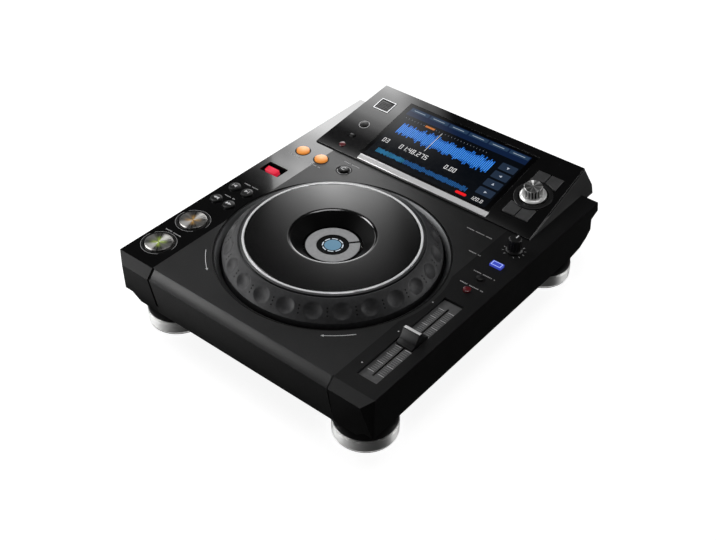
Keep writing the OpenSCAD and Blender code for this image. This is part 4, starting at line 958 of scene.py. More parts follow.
def round_cap(node, name, material, dish, radius=None, sink=0.0):
    """A round button cap that stands for a CAD node; dish is negative for a dome."""
    at = middle(node)
    radius = radius or half_width(node) - FLANGE
    bm = spun(cap_outline(radius, at.z - sink, DECK_Z - 3.0, dish), 72)
    return stands_for(new_piece(name, bm, [material], 40, upright(at)), node)


def button_rim(name, at, profile, steps, edge, cover):
    """Thin raised ring round a button; its outline's heights are over the deck."""
    bm = spun([(r, DECK_Z + z) for r, z in profile], steps)
    soften(bm, edge, 2)
    made = new_piece(name, bm, [finish("recess_plastic")], place=upright(at))
    rides_with(made, cover)


def dome_height(radius, rise, x, y):
    """Height of a dome's skin over its rim."""
    return rise * max(0.0, 1 - (x * x + y * y) / (radius * radius))


def symbol(name, outlines, node, radius, rise):
    """White sign that follows a button's dome: long edges are cut so that it can bend."""
    at = middle(node)
    bm = bmesh.new()
    for outline in outlines:
        slab(bm, outline, 0.0, INK)
    bmesh.ops.triangulate(bm, faces=bm.faces[:])
    bmesh.ops.subdivide_edges(bm, edges=[e for e in bm.edges if e.calc_length() > 4 * INK],
                              cuts=3, use_grid_fill=True)
    for vert in bm.verts:
        vert.co.z += dome_height(radius, rise, vert.co.x, vert.co.y)
    made = new_piece(name, bm, [finish("print_white")],
                     place=upright(at, at.z - rise + INK / 2))
    rides_with(made, node)


def make_transport():
    """Play and cue: brushed discs with a lit middle, a dark ring and a groove round each."""
    for node, name, glow in (("play_button", "play_cap", (0.45, 0.62, 0.06)),
                             ("cue_button", "cue_cap", (0.55, 0.3, 0.06))):
        at = middle(node)
        radius = half_width(node) - FLANGE
        metal = button_metal(name + "_metal", colours().steel, at, glow)
        round_cap(node, name, metal, 0.45, radius - 0.7, sink=0.5)
        groove = [arc_band(radius + 3.0, 0.35, start, start + 150, 40) for start in (0, 165)]
        printed(name + "_groove", groove, finish("print_grey"), upright(at, DECK_Z), "left_cover")
        profile = [(radius + 0.55, -0.6), (radius + 2.1, -0.6), (radius + 1.9, 0.1),
                   (radius + 0.8, 0.15)]
        button_rim(name + "_rim", at, profile, 96, 0.1, "left_cover")


def make_track_buttons():
    """Four black domes with generic skip and search signs."""
    skip = {"search_back_button": [(-1.3, 180), (1.9, 180)],
            "search_on_button": [(-1.9, 0), (1.3, 0)],
            "track_back_button": [(1.0, 180)],
            "track_on_button": [(-1.0, 0)]}
    for node, heads in skip.items():
        name = node.replace("_button", "_dome")
        round_cap(node, name, finish("button_black"), -DOME)
        signs = [triangle(x, 0.0, 2.4, heading) for x, heading in heads]
        if len(heads) == 1:
            bar = 2.2 if heads[0][1] == 0 else -2.2
            signs.append(rectangle(bar - 0.35, -1.9, bar + 0.35, 1.9))
        symbol(name + "_sign", signs, node, 5.55, DOME)


def make_loop_buttons():
    """Two orange lit domes and a black one with an open ring."""
    for node, name, cover in (("loop_in_button", "loop_in_dome", "left_cover"),
                              ("loop_out_button", "loop_out_dome", "top_cover")):
        at = middle(node)
        lit = lit_plastic(name + "_light", colours().orange, 0.56, at, 6.5, (1.0, 0.72, 0.34))
        round_cap(node, name, lit, -DOME)
        profile = [(7.2, -0.6), (8.7, -0.6), (8.6, 0.05), (7.3, 0.1)]
        button_rim(name + "_rim", at, profile, 72, 0.08, cover)
    round_cap("reloop_button", "reloop_dome", finish("button_black"), -SMALL_DOME)
    ring = [arc_band(7.0, 0.8, start, start + 140, 20) for start in (20, 200)]
    printed("reloop_ring", ring, finish("print_grey"), upright(middle("reloop_button"), DECK_Z),
            "top_cover")
    symbol("reloop_sign", [arc_band(2.2, 0.6, 40, 320, 20)], "reloop_button", 4.2,
           SMALL_DOME)


def make_lever():
    """Red lit paddle on its dark saddle, in a slot with a painted highlight strip along the edge
    behind.
    """
    at = middle("direction_lever")
    bm = merged_copy("direction_lever")
    # The lit paddle is the narrow upper part; the wide part under it is the saddle
    paddle_foot, paddle_half = DECK_Z - 4.2, 7.9
    for face in bm.faces:
        if face.calc_center_median().z > paddle_foot and all(
                abs(v.co.x - at.x) < paddle_half for v in face.verts):
            face.material_index = 1
    soften(bm, 0.5, 3)
    red = lit_plastic("lever_light", colours().red, 0.7, at, 9.0, (0.95, 0.10, 0.16))
    stands_for(new_piece("lever_paddle", bm, [finish("recess_plastic"), red]), "direction_lever")
    # A pale strip behind the slot: a painted highlight along its edge
    slot_highlight_y = max(corners("direction_lever")[1].y + 0.4, at.y + 8.9)
    half_x, half_y = 11.6, 0.35
    edge = bmesh.new()
    slab(edge, rectangle(at.x - half_x, slot_highlight_y - half_y, at.x + half_x, slot_highlight_y + half_y),
         -0.4, 0.06)
    made = new_piece("slot_edge", edge, [finish("slot_edge")], place=DECK)
    rides_with(made, "left_cover")


# The cap's travel to either side of its middle
FADER_TRAVEL = 50.0


def make_fader():
    """Scale plate with its ticks, and the cap with a bright band on its crest."""
    softened("fader_plate", "scale_plate", finish("plate_grey"), 0.2)
    paint("fader_unit", finish("plated_steel"))
    softened("fader_cap", "fader_grip", finish("knob_black"), 0.6, 3, 20)
    centre = centre_of("fader_plate")
    ticks, long_ticks = [], []
    for i in range(-20, 21):
        row, reach, half = (long_ticks, 8.4, 0.24) if i % 5 == 0 else (ticks, 7.4, 0.13)
        y = centre.y + i * FADER_TRAVEL / 20
        for side in (-1, 1):
            x0, x1 = sorted((centre.x + side * 2.2, centre.x + side * reach))
            row.append(rectangle(x0, y - half, x1, y + half))
    on_plate = Matrix.Translation((0, 0, middle("fader_plate").z))
    printed("fader_ticks", ticks, finish("print_grey"), on_plate, "fader_plate")
    printed("fader_long_ticks", long_ticks, finish("print_white"), on_plate, "fader_plate")
    cap = middle("fader_cap")
    c_low, c_high = corners("fader_cap")
    band = bmesh.new()
    slab(band, rectangle(c_low.x + 0.3, cap.y - 1.5, c_high.x - 0.3, cap.y + 1.5),
         cap.z - 0.6, cap.z + 0.25)
    soften(band, 0.3, 2)
    rides_with(new_piece("fader_band", band, [finish("band_metal")]), "fader_cap")


def make_right_controls():
    """Speed knob, mode, range and hold buttons."""
    softened("speed_knob", "speed_grip", finish("knob_black"), 0.35, 2, 25)
    at = middle("speed_knob")
    printed("speed_pointer", [rectangle(-0.6, 1.0, 0.6, 5.6)], finish("print_white"),
            Matrix.Translation(at), "speed_knob")
    blue = lit_plastic("mode_light", colours().blue, 0.6, middle("mode_button"), 7.5,
                       (0.06, 0.09, 0.6))
    softened("mode_button", "mode_cap", blue, 0.5, 3)
    at = middle("mode_button")
    frame_bars = [rectangle(-5.2, 2.3, 5.2, 3.0), rectangle(-5.2, -3.0, 5.2, -2.3),
                  rectangle(-5.2, -2.3, -4.4, 2.3), rectangle(4.4, -2.3, 5.2, 2.3)]
    printed("mode_outline", frame_bars, lit_screen("mode", (0.4, 0.5, 1.0), 1.1),
            Matrix.Translation(at), "mode_button")
    round_cap("range_button", "range_dome", finish("button_black"), -SMALL_DOME)
    round_cap("hold_button", "hold_dome", finish("hold_red"), -SMALL_DOME)


# ---- Pod ----

def make_pod():
    """Housing, gloss panel, touch glass and the bright strip before it."""
    softened("pod_housing", "pod_body", finish("side_plastic"), 0.5)
    softened("pod_panel", "pod_top", finish("gloss_plastic"), 0.5, 3)
    softened("touch_glass", "touch_sheet", finish("screen_glass"), 0.25)
    paint("lcd_panel", finish("recess_plastic"))
    softened("display_trim", "bright_strip", finish("strip_metal"), 0.15, 2)


def digit_bars(figure, x, y, height):
    """Seven-bar figure with its lower left corner at x, y."""
    width, stroke = height * 0.5, height * 0.1
    half = height / 2
    bars = {
        "a": rectangle(x, y + height - stroke, x + width, y + height),
        "b": rectangle(x + width - stroke, y + half, x + width, y + height),
        "c": rectangle(x + width - stroke, y, x + width, y + half),
        "d": rectangle(x, y, x + width, y + stroke),
        "e": rectangle(x, y, x + stroke, y + half),
        "f": rectangle(x, y + half, x + stroke, y + height),
        "g": rectangle(x, y + half - stroke / 2, x + width, y + half + stroke / 2),
    }
    lit = {"0": "abcdef", "1": "bc", "2": "abged", "3": "abgcd", "4": "fgbc", "5": "afgcd",
           "6": "afgedc", "7": "abc", "8": "abcdefg", "9": "abcdfg"}
    return [bars[key] for key in lit[figure]]


def figures(text, x, y, height):
    """Row of seven-bar figures; a point and a colon are small squares."""
    shapes = []
    for mark in text:
        if mark in ".:":
            dot = height * 0.13
            shapes.append(rectangle(x, y, x + dot, y + dot))
            if mark == ":":
                shapes.append(rectangle(x, y + height * 0.6, x + dot, y + height * 0.6 + dot))
            x += height * 0.3
        else:
            shapes += digit_bars(mark, x, y, height)
            x += height * 0.72
    return shapes


def wave_bars(x0, x1, y, height, count, seed):
    """Upright bars of an even, invented sound wave about the line y."""
    draw = random.Random(seed)
    step = (x1 - x0) / count
    shapes = []
    for i in range(count):
        beat = 0.8 + 0.2 * abs(math.cos(i * math.pi / 6))
        tall = height / 2 * beat * draw.uniform(0.55, 1.0)
        shapes.append(rectangle(x0 + i * step, y - tall, x0 + (i + 0.66) * step, y + tall))
    return shapes


def make_screen_picture():
    """Generic picture on the screen: bar of tabs, wave, counters and a column of keys."""
    low, high = corners("touch_glass")
    left, right = low.x + 5.0, high.x - 6.0
    bottom, top = 3.5, 88.0
    band_top = top - 13.0
    key_x = right - 21.0
    tab = (right - left) / 6
    key_step = 13.5
    count_y = 27.5
    wave_y, overview_y = 54.0, 14.0
    ruler = (69.6, 71.2)
    looks = (
        ("field", (0.001, 0.002, 0.004), [rectangle(left, bottom, right, top)]),
        ("bar", (0.004, 0.013, 0.045), [rectangle(left, band_top, right, top)]),
        ("tabs", (0.02, 0.045, 0.09), [
            rounded(left + i * tab + 1.0, top - 6.0, left + (i + 1) * tab - 1.0, top - 1.0, 0.8)
            for i in range(6)]),
        ("wave", (0.02, 0.16, 0.62), wave_bars(left + 8, key_x - 6, wave_y, 25.0, 56, 7)),
        ("wave_core", (0.05, 0.27, 0.85), wave_bars(left + 8, key_x - 6, wave_y, 17.0, 56, 11)),
        ("line", (0.85, 0.85, 0.85), [
            rectangle(left + 52, 38.0, left + 52.5, 70.0),
            *figures("03", left + 4, count_y, 6.0),
            *figures("01:48.275", left + 26, count_y, 6.5),
            *figures("0.00", left + 84, count_y, 6.0),
            *figures("120.0", key_x + 1.0, 6.0, 4.6)]),
        ("overview", (0.015, 0.1, 0.3), wave_bars(left + 8, key_x - 8, overview_y, 8.0, 70, 3)),
        ("played", (0.02, 0.16, 0.28), wave_bars(left + 8, left + 44, overview_y, 8.0, 24, 5)),
        ("keys", (0.016, 0.028, 0.052), [
            rounded(key_x, 16.0 + i * key_step, right - 2, 26.5 + i * key_step, 1.2)
            for i in range(4)]),
        ("key_marks", (0.45, 0.5, 0.58), [
            triangle((key_x + right - 2) / 2, 21.2 + i * key_step, 2.0, 90 * i)
            for i in range(4)]),
        ("warm", (0.55, 0.16, 0.02), [rounded(left + 30, 69.2, left + 42, 71.8, 0.5)]),
        ("pill", (0.85, 0.01, 0.015), [rounded(key_x - 17, 5.2, key_x - 4, 8.8, 1.7)]),
        ("tab_lines", (0.35, 0.42, 0.5), [
            rectangle(left + i * tab + 5.0, top - 3.9, left + (i + 1) * tab - 6.0, top - 3.2)
            for i in range(6)]),
        ("ticks", (0.25, 0.27, 0.3), [
            rectangle(left + 4 + i * 4.0, ruler[0], left + 4.3 + i * 4.0, ruler[1])
            for i in range(27)]),
    )

    bm = bmesh.new()
    materials = []
    for order, (name, light, shapes) in enumerate(looks):
        materials.append(lit_screen(name, light))
        # Each layer stands a little over the one before
        for outline in shapes:
            slab(bm, outline, 0.005, 0.01 + 0.004 * order, order)
    rides_with(new_piece("screen_picture", bm, materials, place=POD), "touch_glass")


# Outside of the port's frame, across and up the slope, and how far it stands out
PORT_SIZE = (20.0, 18.0)
PORT_LIFT = 0.4


def port_middle():
    """How far up the pod's slope the memory port's middle lies, from its CAD mesh."""
    spots = [on_pod(v.co / MM) for v in frame["nodes"]["usb_frame"].data.vertices]
    along = [spot.y for spot in spots if abs(spot.z - PORT_LIFT) < 0.1]
    return (min(along) + max(along)) / 2


def make_port():
    """Memory port: lit frame, metal socket and ribbed flap."""
    softened("usb_frame", "port_frame", finish("gloss_plastic"), 0.2)
    half_x = half_width("usb_frame") - 0.25
    half_y = half_x * PORT_SIZE[1] / PORT_SIZE[0]
    line = 0.9
    sides = [rectangle(-half_x, half_y - line, half_x, half_y),
             rectangle(-half_x, -half_y, half_x, line - half_y),
             rectangle(-half_x, line - half_y, line - half_x, half_y - line),
             rectangle(half_x - line, line - half_y, half_x, half_y - line)]
    spot = Vector((on_pod(centre_of("usb_frame")).x, port_middle(), 0))
    printed("port_light", sides, finish("lit_white"), POD @ upright(spot, PORT_LIFT), "usb_frame")
    paint("usb_socket", finish("plated_steel"))
    softened("usb_door", "port_flap", finish("knob_black"), 0.15)


# Foot and top of a round cap on the pod, over its panel
POD_CAP = (-2.0, 1.3)


def make_pod_buttons():
    """Stop and mark buttons, and the small slide switch, on the pod's left."""
    for node, name, material in (("stop_button", "stop_dome", finish("button_black")),
                                 ("mark_button", "mark_dome", finish("hold_red"))):
        place = POD @ upright(on_pod(centre_of(node)))
        radius = half_width(node) - FLANGE
        bm = spun(cap_outline(radius, POD_CAP[1], POD_CAP[0], -POD_DOME), 72)
        stands_for(new_piece(name, bm, [material], 40, place), node)
        if node == "stop_button":
            ring = [arc_band(radius + 1.4, 0.5, 0, 359.9, 40)]
            printed("stop_ring", ring, finish("print_white"), place, "pod_panel")
    softened("lock_switch", "lock_slide", finish("knob_black"), 0.3)


# Ridges round the selector's grip, and the painted light and dark rays of highlight on its top
RIDGES = 16
TOP_PAINTED_GLINTS = 7


def ridged_grip(radius, depth, low, high):
    """A grip with ridges round it, between two heights; its grooves take the second material."""
    per_ridge = 5
    bm = bmesh.new()
    ring = bmesh.ops.create_circle(bm, segments=RIDGES * per_ridge, radius=radius,
                                   cap_ends=True)["verts"]
    for i, vert in enumerate(ring):
        if i % per_ridge in (0, 1, 2):
            vert.co *= 1 - depth / radius
        vert.co.z = low
    grown = bmesh.ops.extrude_face_region(bm, geom=bm.faces[:])["geom"]
    raised = [v for v in grown if isinstance(v, bmesh.types.BMVert)]
    bmesh.ops.translate(bm, verts=raised, vec=(0, 0, high - low))
    bmesh.ops.recalc_face_normals(bm, faces=bm.faces)
    for face in bm.faces:
        at = face.calc_center_median()
        if abs(face.normal.z) < 0.5 and math.hypot(at.x, at.y) < radius - 1.0:
            face.material_index = 1
    return bm


def make_selector():
    """Turned selector with a ridged grip, its raised ring, and the four keys."""
    paint("selector_encoder", finish("plated_steel"))
    paint("selector_shaft", finish("plated_steel"))
    axis = on_pod(centre_of("selector_shaft"))
    place = POD @ upright(axis)
    flange, grip, foot, tall = 13.3, 9.5, 1.1, 13.5
    base = spun([(0, foot), (flange - 0.5, foot), (flange, foot + 0.5), (flange, foot + 1.1),
                 (grip + 1.4, foot + 2.4), (0, foot + 2.4)], 120)
    soften(base, 0.25, 3, 20)
    cap = spun([(0, tall - 1.3), (grip - 0.5, tall - 1.3), (grip - 0.5, tall - 0.5),
                (grip - 1.0, tall), (grip - 1.8, tall - 0.25), (0, tall - 0.4)], 120)
    soften(cap, 0.2, 3, 20)
    collar = spun([(15.2, 0.3), (18.9, 0.3), (19.4, 0.7), (19.2, 1.0), (15.4, 1.0)], 120)
    soften(collar, 0.15, 2)

    centre = POD @ Vector((axis.x, axis.y, tall))
    top, angle, _, fan = spun_metal("selector_top_metal", colours().chrome, centre, 9.0, 0.6)
    # The seven-fold rays and the coarse fan from spun_metal paint light and dark wedges of
    # highlight into the chrome's colour
    swing = computed(top, "COSINE", computed(top, "MULTIPLY", angle, TOP_PAINTED_GLINTS * 2 * math.pi))
    rays = between(top, swing, 0.35, 1.0, 0.1, 0.9)
    toned(top, colours().chrome, computed(top, "MULTIPLY", rays, fan))

    bright = finish("selector_bright")
    stands_for(new_piece("selector_flange", base, [bright], place=place), "selector_knob")
    ridged = ridged_grip(grip, 1.3, foot + 2.0, tall - 1.2)
    rides_with(new_piece("selector_grip", ridged, [bright, finish("recess_plastic")], 20, place),
               "selector_knob")
    rides_with(new_piece("selector_top", cap, [top], place=place), "selector_knob")
    rides_with(new_piece("selector_collar", collar, [finish("knob_black")], place=place),
               "pod_panel")
    for node in ("back_button", "tag_button", "list_button", "menu_button"):
        softened(node, node.replace("_button", "_key"), finish("key_plastic"), 0.35, 3)


# ---- Printing on the deck ----

# Label lines: the control they belong to, how far from its middle they stand, and their length
LEFT_LABELS = (("play_button", 0.4, 19.6, 23.0), ("search_back_button", 8.3, 10.9, 14.0),
               ("track_back_button", 12.0, 11.8, 19.0), ("loop_in_button", -0.4, -12.2, 17.0))
DECK_LABELS = (("loop_out_button", 3.0, -12.8, 15.0), ("reloop_button", 0.1, 13.2, 22.0),
               ("speed_knob", -40.3, 1.6, 30.0), ("mode_button", -26.0, 2.1, 14.0))
RIGHT_LABELS = (("range_button", 0.2, 6.7, 24.0), ("hold_button", 0.1, 7.3, 26.0))
# Radius of the direction arrows round the wheel
ARROW_R = 119.0


def label_line(x, y, length):
    """Generic label: a row of short bars that names nothing."""
    step, wide, tall = 1.7, 1.15, 1.2
    count = int(length / step)
    left = x - count * step / 2
    return [rectangle(left + i * step, y - tall / 2, left + i * step + wide, y + tall / 2)
            for i in range(count) if i % 7 != 5]


def make_deck_print():
    """Direction arrows, knob scale, fader dots and short label lines."""
    marks = []
    for start, end, head, heading in ((220, 234, 234, 90), (306, 320, 306, -90)):
        marks.append(moved(arc_band(ARROW_R, 0.6, start, end, 16), JOG.x, JOG.y))
        tip = math.radians(head)
        marks.append(triangle(JOG.x + ARROW_R * math.cos(tip), JOG.y + ARROW_R * math.sin(tip),
                              1.7, head + heading))
    fader = centre_of("fader_plate")
    for y in (-FADER_TRAVEL, 0.0, FADER_TRAVEL):
        marks.append(moved(arc_band(0.35, 0.7, 0, 359.9, 12), fader.x - 14.8, fader.y + y))
    speed = middle("speed_knob")
    for i in range(11):
        marks.append(moved(rectangle(9.6, -0.2, 11.4, 0.2), speed.x, speed.y, 240 - 30 * i))
    printed("deck_marks", marks, finish("print_white"), DECK, "top_cover")
    for cover, lines in (("left_cover", LEFT_LABELS), ("top_cover", DECK_LABELS),
                         ("right_cover", RIGHT_LABELS)):
        bars = []
        for node, dx, dy, length in lines:
            at = middle(node)
            bars += label_line(at.x + dx, at.y + dy, length)
        printed(cover + "_labels", bars, finish("print_grey"), DECK, cover)


# ---- Back and inside ----

def make_back():
    """Sockets, mains inlet and power button."""
    softened("rear_sockets", "socket_row", finish("plated_steel"), 0.15)
    softened("power_inlet", "mains_inlet_body", finish("side_plastic"), 0.25)
    softened("power_button", "power_cap", finish("knob_black"), 0.4)


def make_inside():
    """Boards inside the case."""
    for node in ("main_board", "power_supply", "panel_boards"):
        paint(node, board_green())


# ---- Stage ----

# The camera's place in metres, its turn, pitch and roll, and its lens on a 36 mm sensor
CAMERA_AT = (0.53498, -0.68772, 0.73737)
CAMERA_TURN = math.radians(38.65)
CAMERA_PITCH = math.radians(39.34)
CAMERA_ROLL = math.radians(0.951)
CAMERA_LENS = 56.31


def make_camera():
    """Camera at the same angle as a shop view: from the front right, well above."""
    ahead = Vector((-math.sin(CAMERA_TURN) * math.cos(CAMERA_PITCH),
                    math.cos(CAMERA_TURN) * math.cos(CAMERA_PITCH), -math.sin(CAMERA_PITCH)))
    right = Vector((math.cos(CAMERA_TURN), math.sin(CAMERA_TURN), 0))
    up = right.cross(ahead)
    c, s = math.cos(CAMERA_ROLL), math.sin(CAMERA_ROLL)
    turned_right = right * c + up * s
    turned_up = up * c - right * s
    data = bpy.data.cameras.new("view")
    data.lens = CAMERA_LENS
    data.sensor_width = 36.0
    data.clip_start, data.clip_end = 0.05, 20.0
    camera = bpy.data.objects.new("view", data)
    camera.matrix_world = (Matrix.Translation(CAMERA_AT)
                           @ Matrix((turned_right, turned_up, -ahead)).transposed().to_4x4())
    bpy.context.scene.collection.objects.link(camera)
    bpy.context.scene.camera = camera


def lamp(name, at, size, power):
    """Soft square lamp that looks at the player."""
    data = bpy.data.lights.new(name, "AREA")
    data.shape = "RECTANGLE"
    data.size = size
    data.size_y = size
    data.energy = power
    made = bpy.data.objects.new(name, data)
    made.location = at
    made.rotation_mode = "QUATERNION"
    made.rotation_quaternion = (Vector((0, 0, 0.05)) - Vector(at)).to_track_quat("-Z", "Y")
    made.visible_camera = False
    bpy.context.scene.collection.objects.link(made)


def sees_background(owner):
    """1 for rays that should meet the white background: camera, glossy and transmission."""
    path = add_node(owner, "ShaderNodeLightPath")
    first = computed(owner, "MAXIMUM", path.outputs["Is Camera Ray"],
                     path.outputs["Is Glossy Ray"])
    return computed(owner, "MAXIMUM", first, path.outputs["Is Transmission Ray"])


def make_world():
    """White behind the player, softer light on it."""
    world = bpy.data.worlds.new("studio")
    bpy.context.scene.world = world
    world.use_nodes = True
    soft = world.node_tree.nodes["Background"]
    white = add_node(world, "ShaderNodeBackground")
    for shader, strength in ((soft, 0.12), (white, 1.0)):
        shader.inputs["Color"].default_value = (1, 1, 1, 1)
        shader.inputs["Strength"].default_value = strength
    mix = add_node(world, "ShaderNodeMixShader")
    join(world, sees_background(world), mix.inputs["Fac"])
    join(world, soft.outputs[0], mix.inputs[1])
    join(world, white.outputs[0], mix.inputs[2])
    join(world, mix.outputs[0], world.node_tree.nodes["World Output"].inputs["Surface"])


def stage_mesh(name, bm, material, reflected_only=True):
    """Turns a bmesh in metres into a part of the stage, shown in reflections only or plainly."""
    mesh = bpy.data.meshes.new(name)
    bm.to_mesh(mesh)
    bm.free()
    mesh.materials.append(material)
    made = bpy.data.objects.new(name, mesh)
    if reflected_only:
        for ray in ("camera", "diffuse", "shadow", "volume_scatter", "transmission"):
            setattr(made, "visible_" + ray, False)
    bpy.context.scene.collection.objects.link(made)


def make_floor():
    """Pale floor that keeps the player's shadow."""
    bm = bmesh.new()
    bmesh.ops.create_grid(bm, x_segments=1, y_segments=1, size=3.0)
    material = plain("floor_white", (0.4, 0.4, 0.4), 0.6, Specular_IOR_Level=0.1,
                     Emission_Color=(1, 1, 1, 1))
    lift = computed(material, "MULTIPLY", sees_background(material), 0.9)
    join(material, lift, shader_of(material).inputs["Emission Strength"])
    stage_mesh("floor", bm, material, reflected_only=False)


def glow_material(name, through=False):
    """Emission only; returns the material, its emission shader and its place split in x, y, z.
    Where it is see-through, its light adds to what lies behind."""
    material = bpy.data.materials.new(name)
    material.use_nodes = True
    nodes = material.node_tree.nodes
    nodes.remove(shader_of(material))
    glow = add_node(material, "ShaderNodeEmission")
    surface = glow.outputs[0]
    if through:
        both = add_node(material, "ShaderNodeAddShader")
        join(material, surface, both.inputs[0])
        join(material, add_node(material, "ShaderNodeBsdfTransparent").outputs[0], both.inputs[1])
        surface = both.outputs[0]
    join(material, surface, nodes["Material Output"].inputs["Surface"])
    place = add_node(material, "ShaderNodeTexCoord")
    split = add_node(material, "ShaderNodeSeparateXYZ")
    join(material, place.outputs["Object"], split.inputs[0])
    return material, glow, split


# Light of the studio's low walls by direction: turn in degrees from the right, over the back,
# and strength.
WALL_LIGHT = ((-180, 3.0), (-157, 5.5), (-140, 7.0), (-125, 6.6), (-111, 4.0), (-98, 2.5),
              (-86, 1.6), (-74, 0.85), (-63, 0.55), (-51, 0.38), (-28, 0.18), (-12, 0.2),
              (9, 0.55), (22, 1.1), (37, 3.1), (55, 3.5), (77, 1.2), (90, 0.15), (110, 0.06),
              (140, 0.06), (165, 1.2), (180, 3.0))
# Radius of the room, the heights between which its walls fade out, the height at which they
# start over the dark table, all in metres, and the strength of the dark parts
DOME_R = 2.4
WALL_FADE = (0.5, 1.0)
TABLE_TOP = 0.02
DARK = 0.02


def make_dome():
    """Studio walls and table that only reflections show: low light round a dark room."""
    bm = bmesh.new()
    bmesh.ops.create_uvsphere(bm, u_segments=48, v_segments=24, radius=DOME_R)
    cut = bmesh.ops.bisect_plane(bm, geom=bm.verts[:] + bm.edges[:] + bm.faces[:], dist=1e-5,
                                 plane_co=(0, 0, 0.003), plane_no=(0, 0, 1), clear_inner=True)
    rim = [e for e in cut["geom_cut"] if isinstance(e, bmesh.types.BMEdge)]
    bmesh.ops.holes_fill(bm, edges=rim, sides=0)
    material, glow, split = glow_material("studio_walls")
    turn = add_node(material, "ShaderNodeTexGradient", gradient_type="RADIAL")
    place = add_node(material, "ShaderNodeTexCoord")
    join(material, place.outputs["Object"], turn.inputs["Vector"])
    brightest = max(level for _, level in WALL_LIGHT)
    around = ramp(material, turn.outputs["Fac"],
                  [(degrees / 360 + 0.5, level / brightest) for degrees, level in WALL_LIGHT])
    high = add_node(material, "ShaderNodeMapRange", {
        "From Min": WALL_FADE[0], "From Max": WALL_FADE[1], "To Min": 1.0, "To Max": 0.0},
        interpolation_type="SMOOTHSTEP")
    join(material, split.outputs["Z"], high.inputs["Value"])
    wall = computed(material, "GREATER_THAN", split.outputs["Z"], TABLE_TOP)
    lit = computed(material, "MULTIPLY", computed(material, "MULTIPLY", around, brightest),
                   computed(material, "MULTIPLY", high.outputs["Result"], wall))
    join(material, computed(material, "ADD", lit, DARK), glow.inputs["Strength"])
    stage_mesh("studio_walls", bm, material)


def make_card(name, corner, x_side, y_side, strength, across, along):
    """Flat light card that only reflections show. It spans two sides from a corner, and its
    strength fades by levels across the first side and along the second."""
    bm = bmesh.new()
    corner, x_side, y_side = Vector(corner), Vector(x_side), Vector(y_side)
    spots = (corner, corner + x_side, corner + x_side + y_side, corner + y_side)
    bm.faces.new([bm.verts.new(spot) for spot in spots])
    material, glow, split = glow_material(name, through=True)

    def share(side):
        axis = max(range(3), key=lambda i: abs(side[i]))
        return between(material, split.outputs[axis], 0.0, 1.0, corner[axis],
                       corner[axis] + side[axis])

    level = computed(material, "MULTIPLY", ramp(material, share(x_side), across),
                     ramp(material, share(y_side), along))
    join(material, computed(material, "MULTIPLY", level, strength), glow.inputs["Strength"])
    stage_mesh(name, bm, material)


# Levels along a side of a card with soft ends
SOFT_SIDES = ((0.0, 0.0), (0.2, 1.0), (0.8, 1.0), (1.0, 0.0))
# Cards: name, corner, two sides, strength, and levels across the first and along the second.
# The first two stand behind on the left for the strip's far end and the wheel's far side.
CARDS = (
    ("back_card", (-0.5, 0.25, 0.1), (0.4, 0, 0), (0, 0, 0.38), 5.0,
     ((0.0, 0.0), (0.125, 0.15), (0.25, 0.35), (0.375, 0.65), (0.475, 1.0), (0.75, 1.0),
      (0.9, 0.22), (1.0, 0.0)),
     ((0.0, 1.0), (0.26, 1.0), (0.38, 0.62), (0.5, 0.38), (0.56, 0.22), (0.63, 0.06),
      (0.7, 0.0), (1.0, 0.0))),
    ("wheel_card", (-1.0, 0.9, 0.84), (0.38, 0, 0), (0, 0, 0.34), 4.8,
     ((0.0, 0.5), (0.1, 0.55), (0.26, 0.72), (0.5, 1.0), (0.58, 0.75), (0.68, 0.41),
      (0.85, 0.15), (1.0, 0.0)),
     ((0.0, 0.0), (0.18, 0.5), (0.31, 0.95), (0.39, 0.85), (0.47, 0.55), (0.52, 0.42),
      (0.63, 0.2), (0.85, 0.03), (1.0, 0.0))),
    ("trim_card", (-1.4, 0.9, 1.64), (0.85, 0, 0), (0, 0, 0.45), 1.4,
     ((0.0, 0.5), (0.29, 1.0), (0.59, 0.5), (0.84, 0.22), (1.0, 0.0)),
     ((0.0, 0.0), (0.15, 1.0), (0.85, 1.0), (1.0, 0.0))),
    ("edge_card", (1.25, 0.45, 0.35), (-0.55, 0.55, 0), (0, 0, 0.7), 3.0,
     SOFT_SIDES, SOFT_SIDES),
    ("table_card", (-0.9, -0.95, 0.004), (1.0, 0, 0), (0, 0.75, 0), 0.45,
     ((0.0, 1.0), (0.6, 0.8), (1.0, 0.1)), ((0.0, 0.6), (0.5, 1.0), (1.0, 1.0))),
)


def make_stage():
    """Floor, lamps, reflecting cards, camera and the plain view settings."""
    bpy.context.scene.view_settings.view_transform = "Standard"
    make_camera()
    make_world()
    make_floor()
    lamp("top_lamp", (0.1, 0.1, 1.6), 0.8, 7.0)
    lamp("left_lamp", (-0.7, -0.15, 0.78), 0.4, 4.0)
    make_dome()
    for card in CARDS:
        make_card(*card)


# ---- Operators ----

class PLAYER_OT_stage(bpy.types.Operator):
    """Make the floor, the lamps, the reflecting cards and the camera"""

    bl_idname = "player.stage"
    bl_label = "Stage"

    def execute(self, context):
        make_stage()
        return {"FINISHED"}


class PLAYER_OT_covers(bpy.types.Operator):
    """Make the deck, the side covers, the rear panel and the floor pan"""

    bl_idname = "player.covers"
    bl_label = "Covers"

    def execute(self, context):
        make_covers()
        return {"FINISHED"}


class PLAYER_OT_feet(bpy.types.Operator):
    """Make the four turned feet"""

    bl_idname = "player.feet"
    bl_label = "Feet"

    def execute(self, context):
        make_feet()
        return {"FINISHED"}


class PLAYER_OT_wheel(bpy.types.Operator):
    """Make the dimpled wheel, its top plate and what carries it"""

    bl_idname = "player.wheel"
    bl_label = "Wheel"

    def execute(self, context):
        make_wheel()
        return {"FINISHED"}


class PLAYER_OT_display(bpy.types.Operator):
    """Make the round display in the wheel's dish"""

    bl_idname = "player.display"
    bl_label = "Wheel display"

    def execute(self, context):
        make_display()
        return {"FINISHED"}


class PLAYER_OT_transport(bpy.types.Operator):
    """Make the brushed play and cue buttons"""

    bl_idname = "player.transport"
    bl_label = "Play and cue"

    def execute(self, context):
        make_transport()
        return {"FINISHED"}


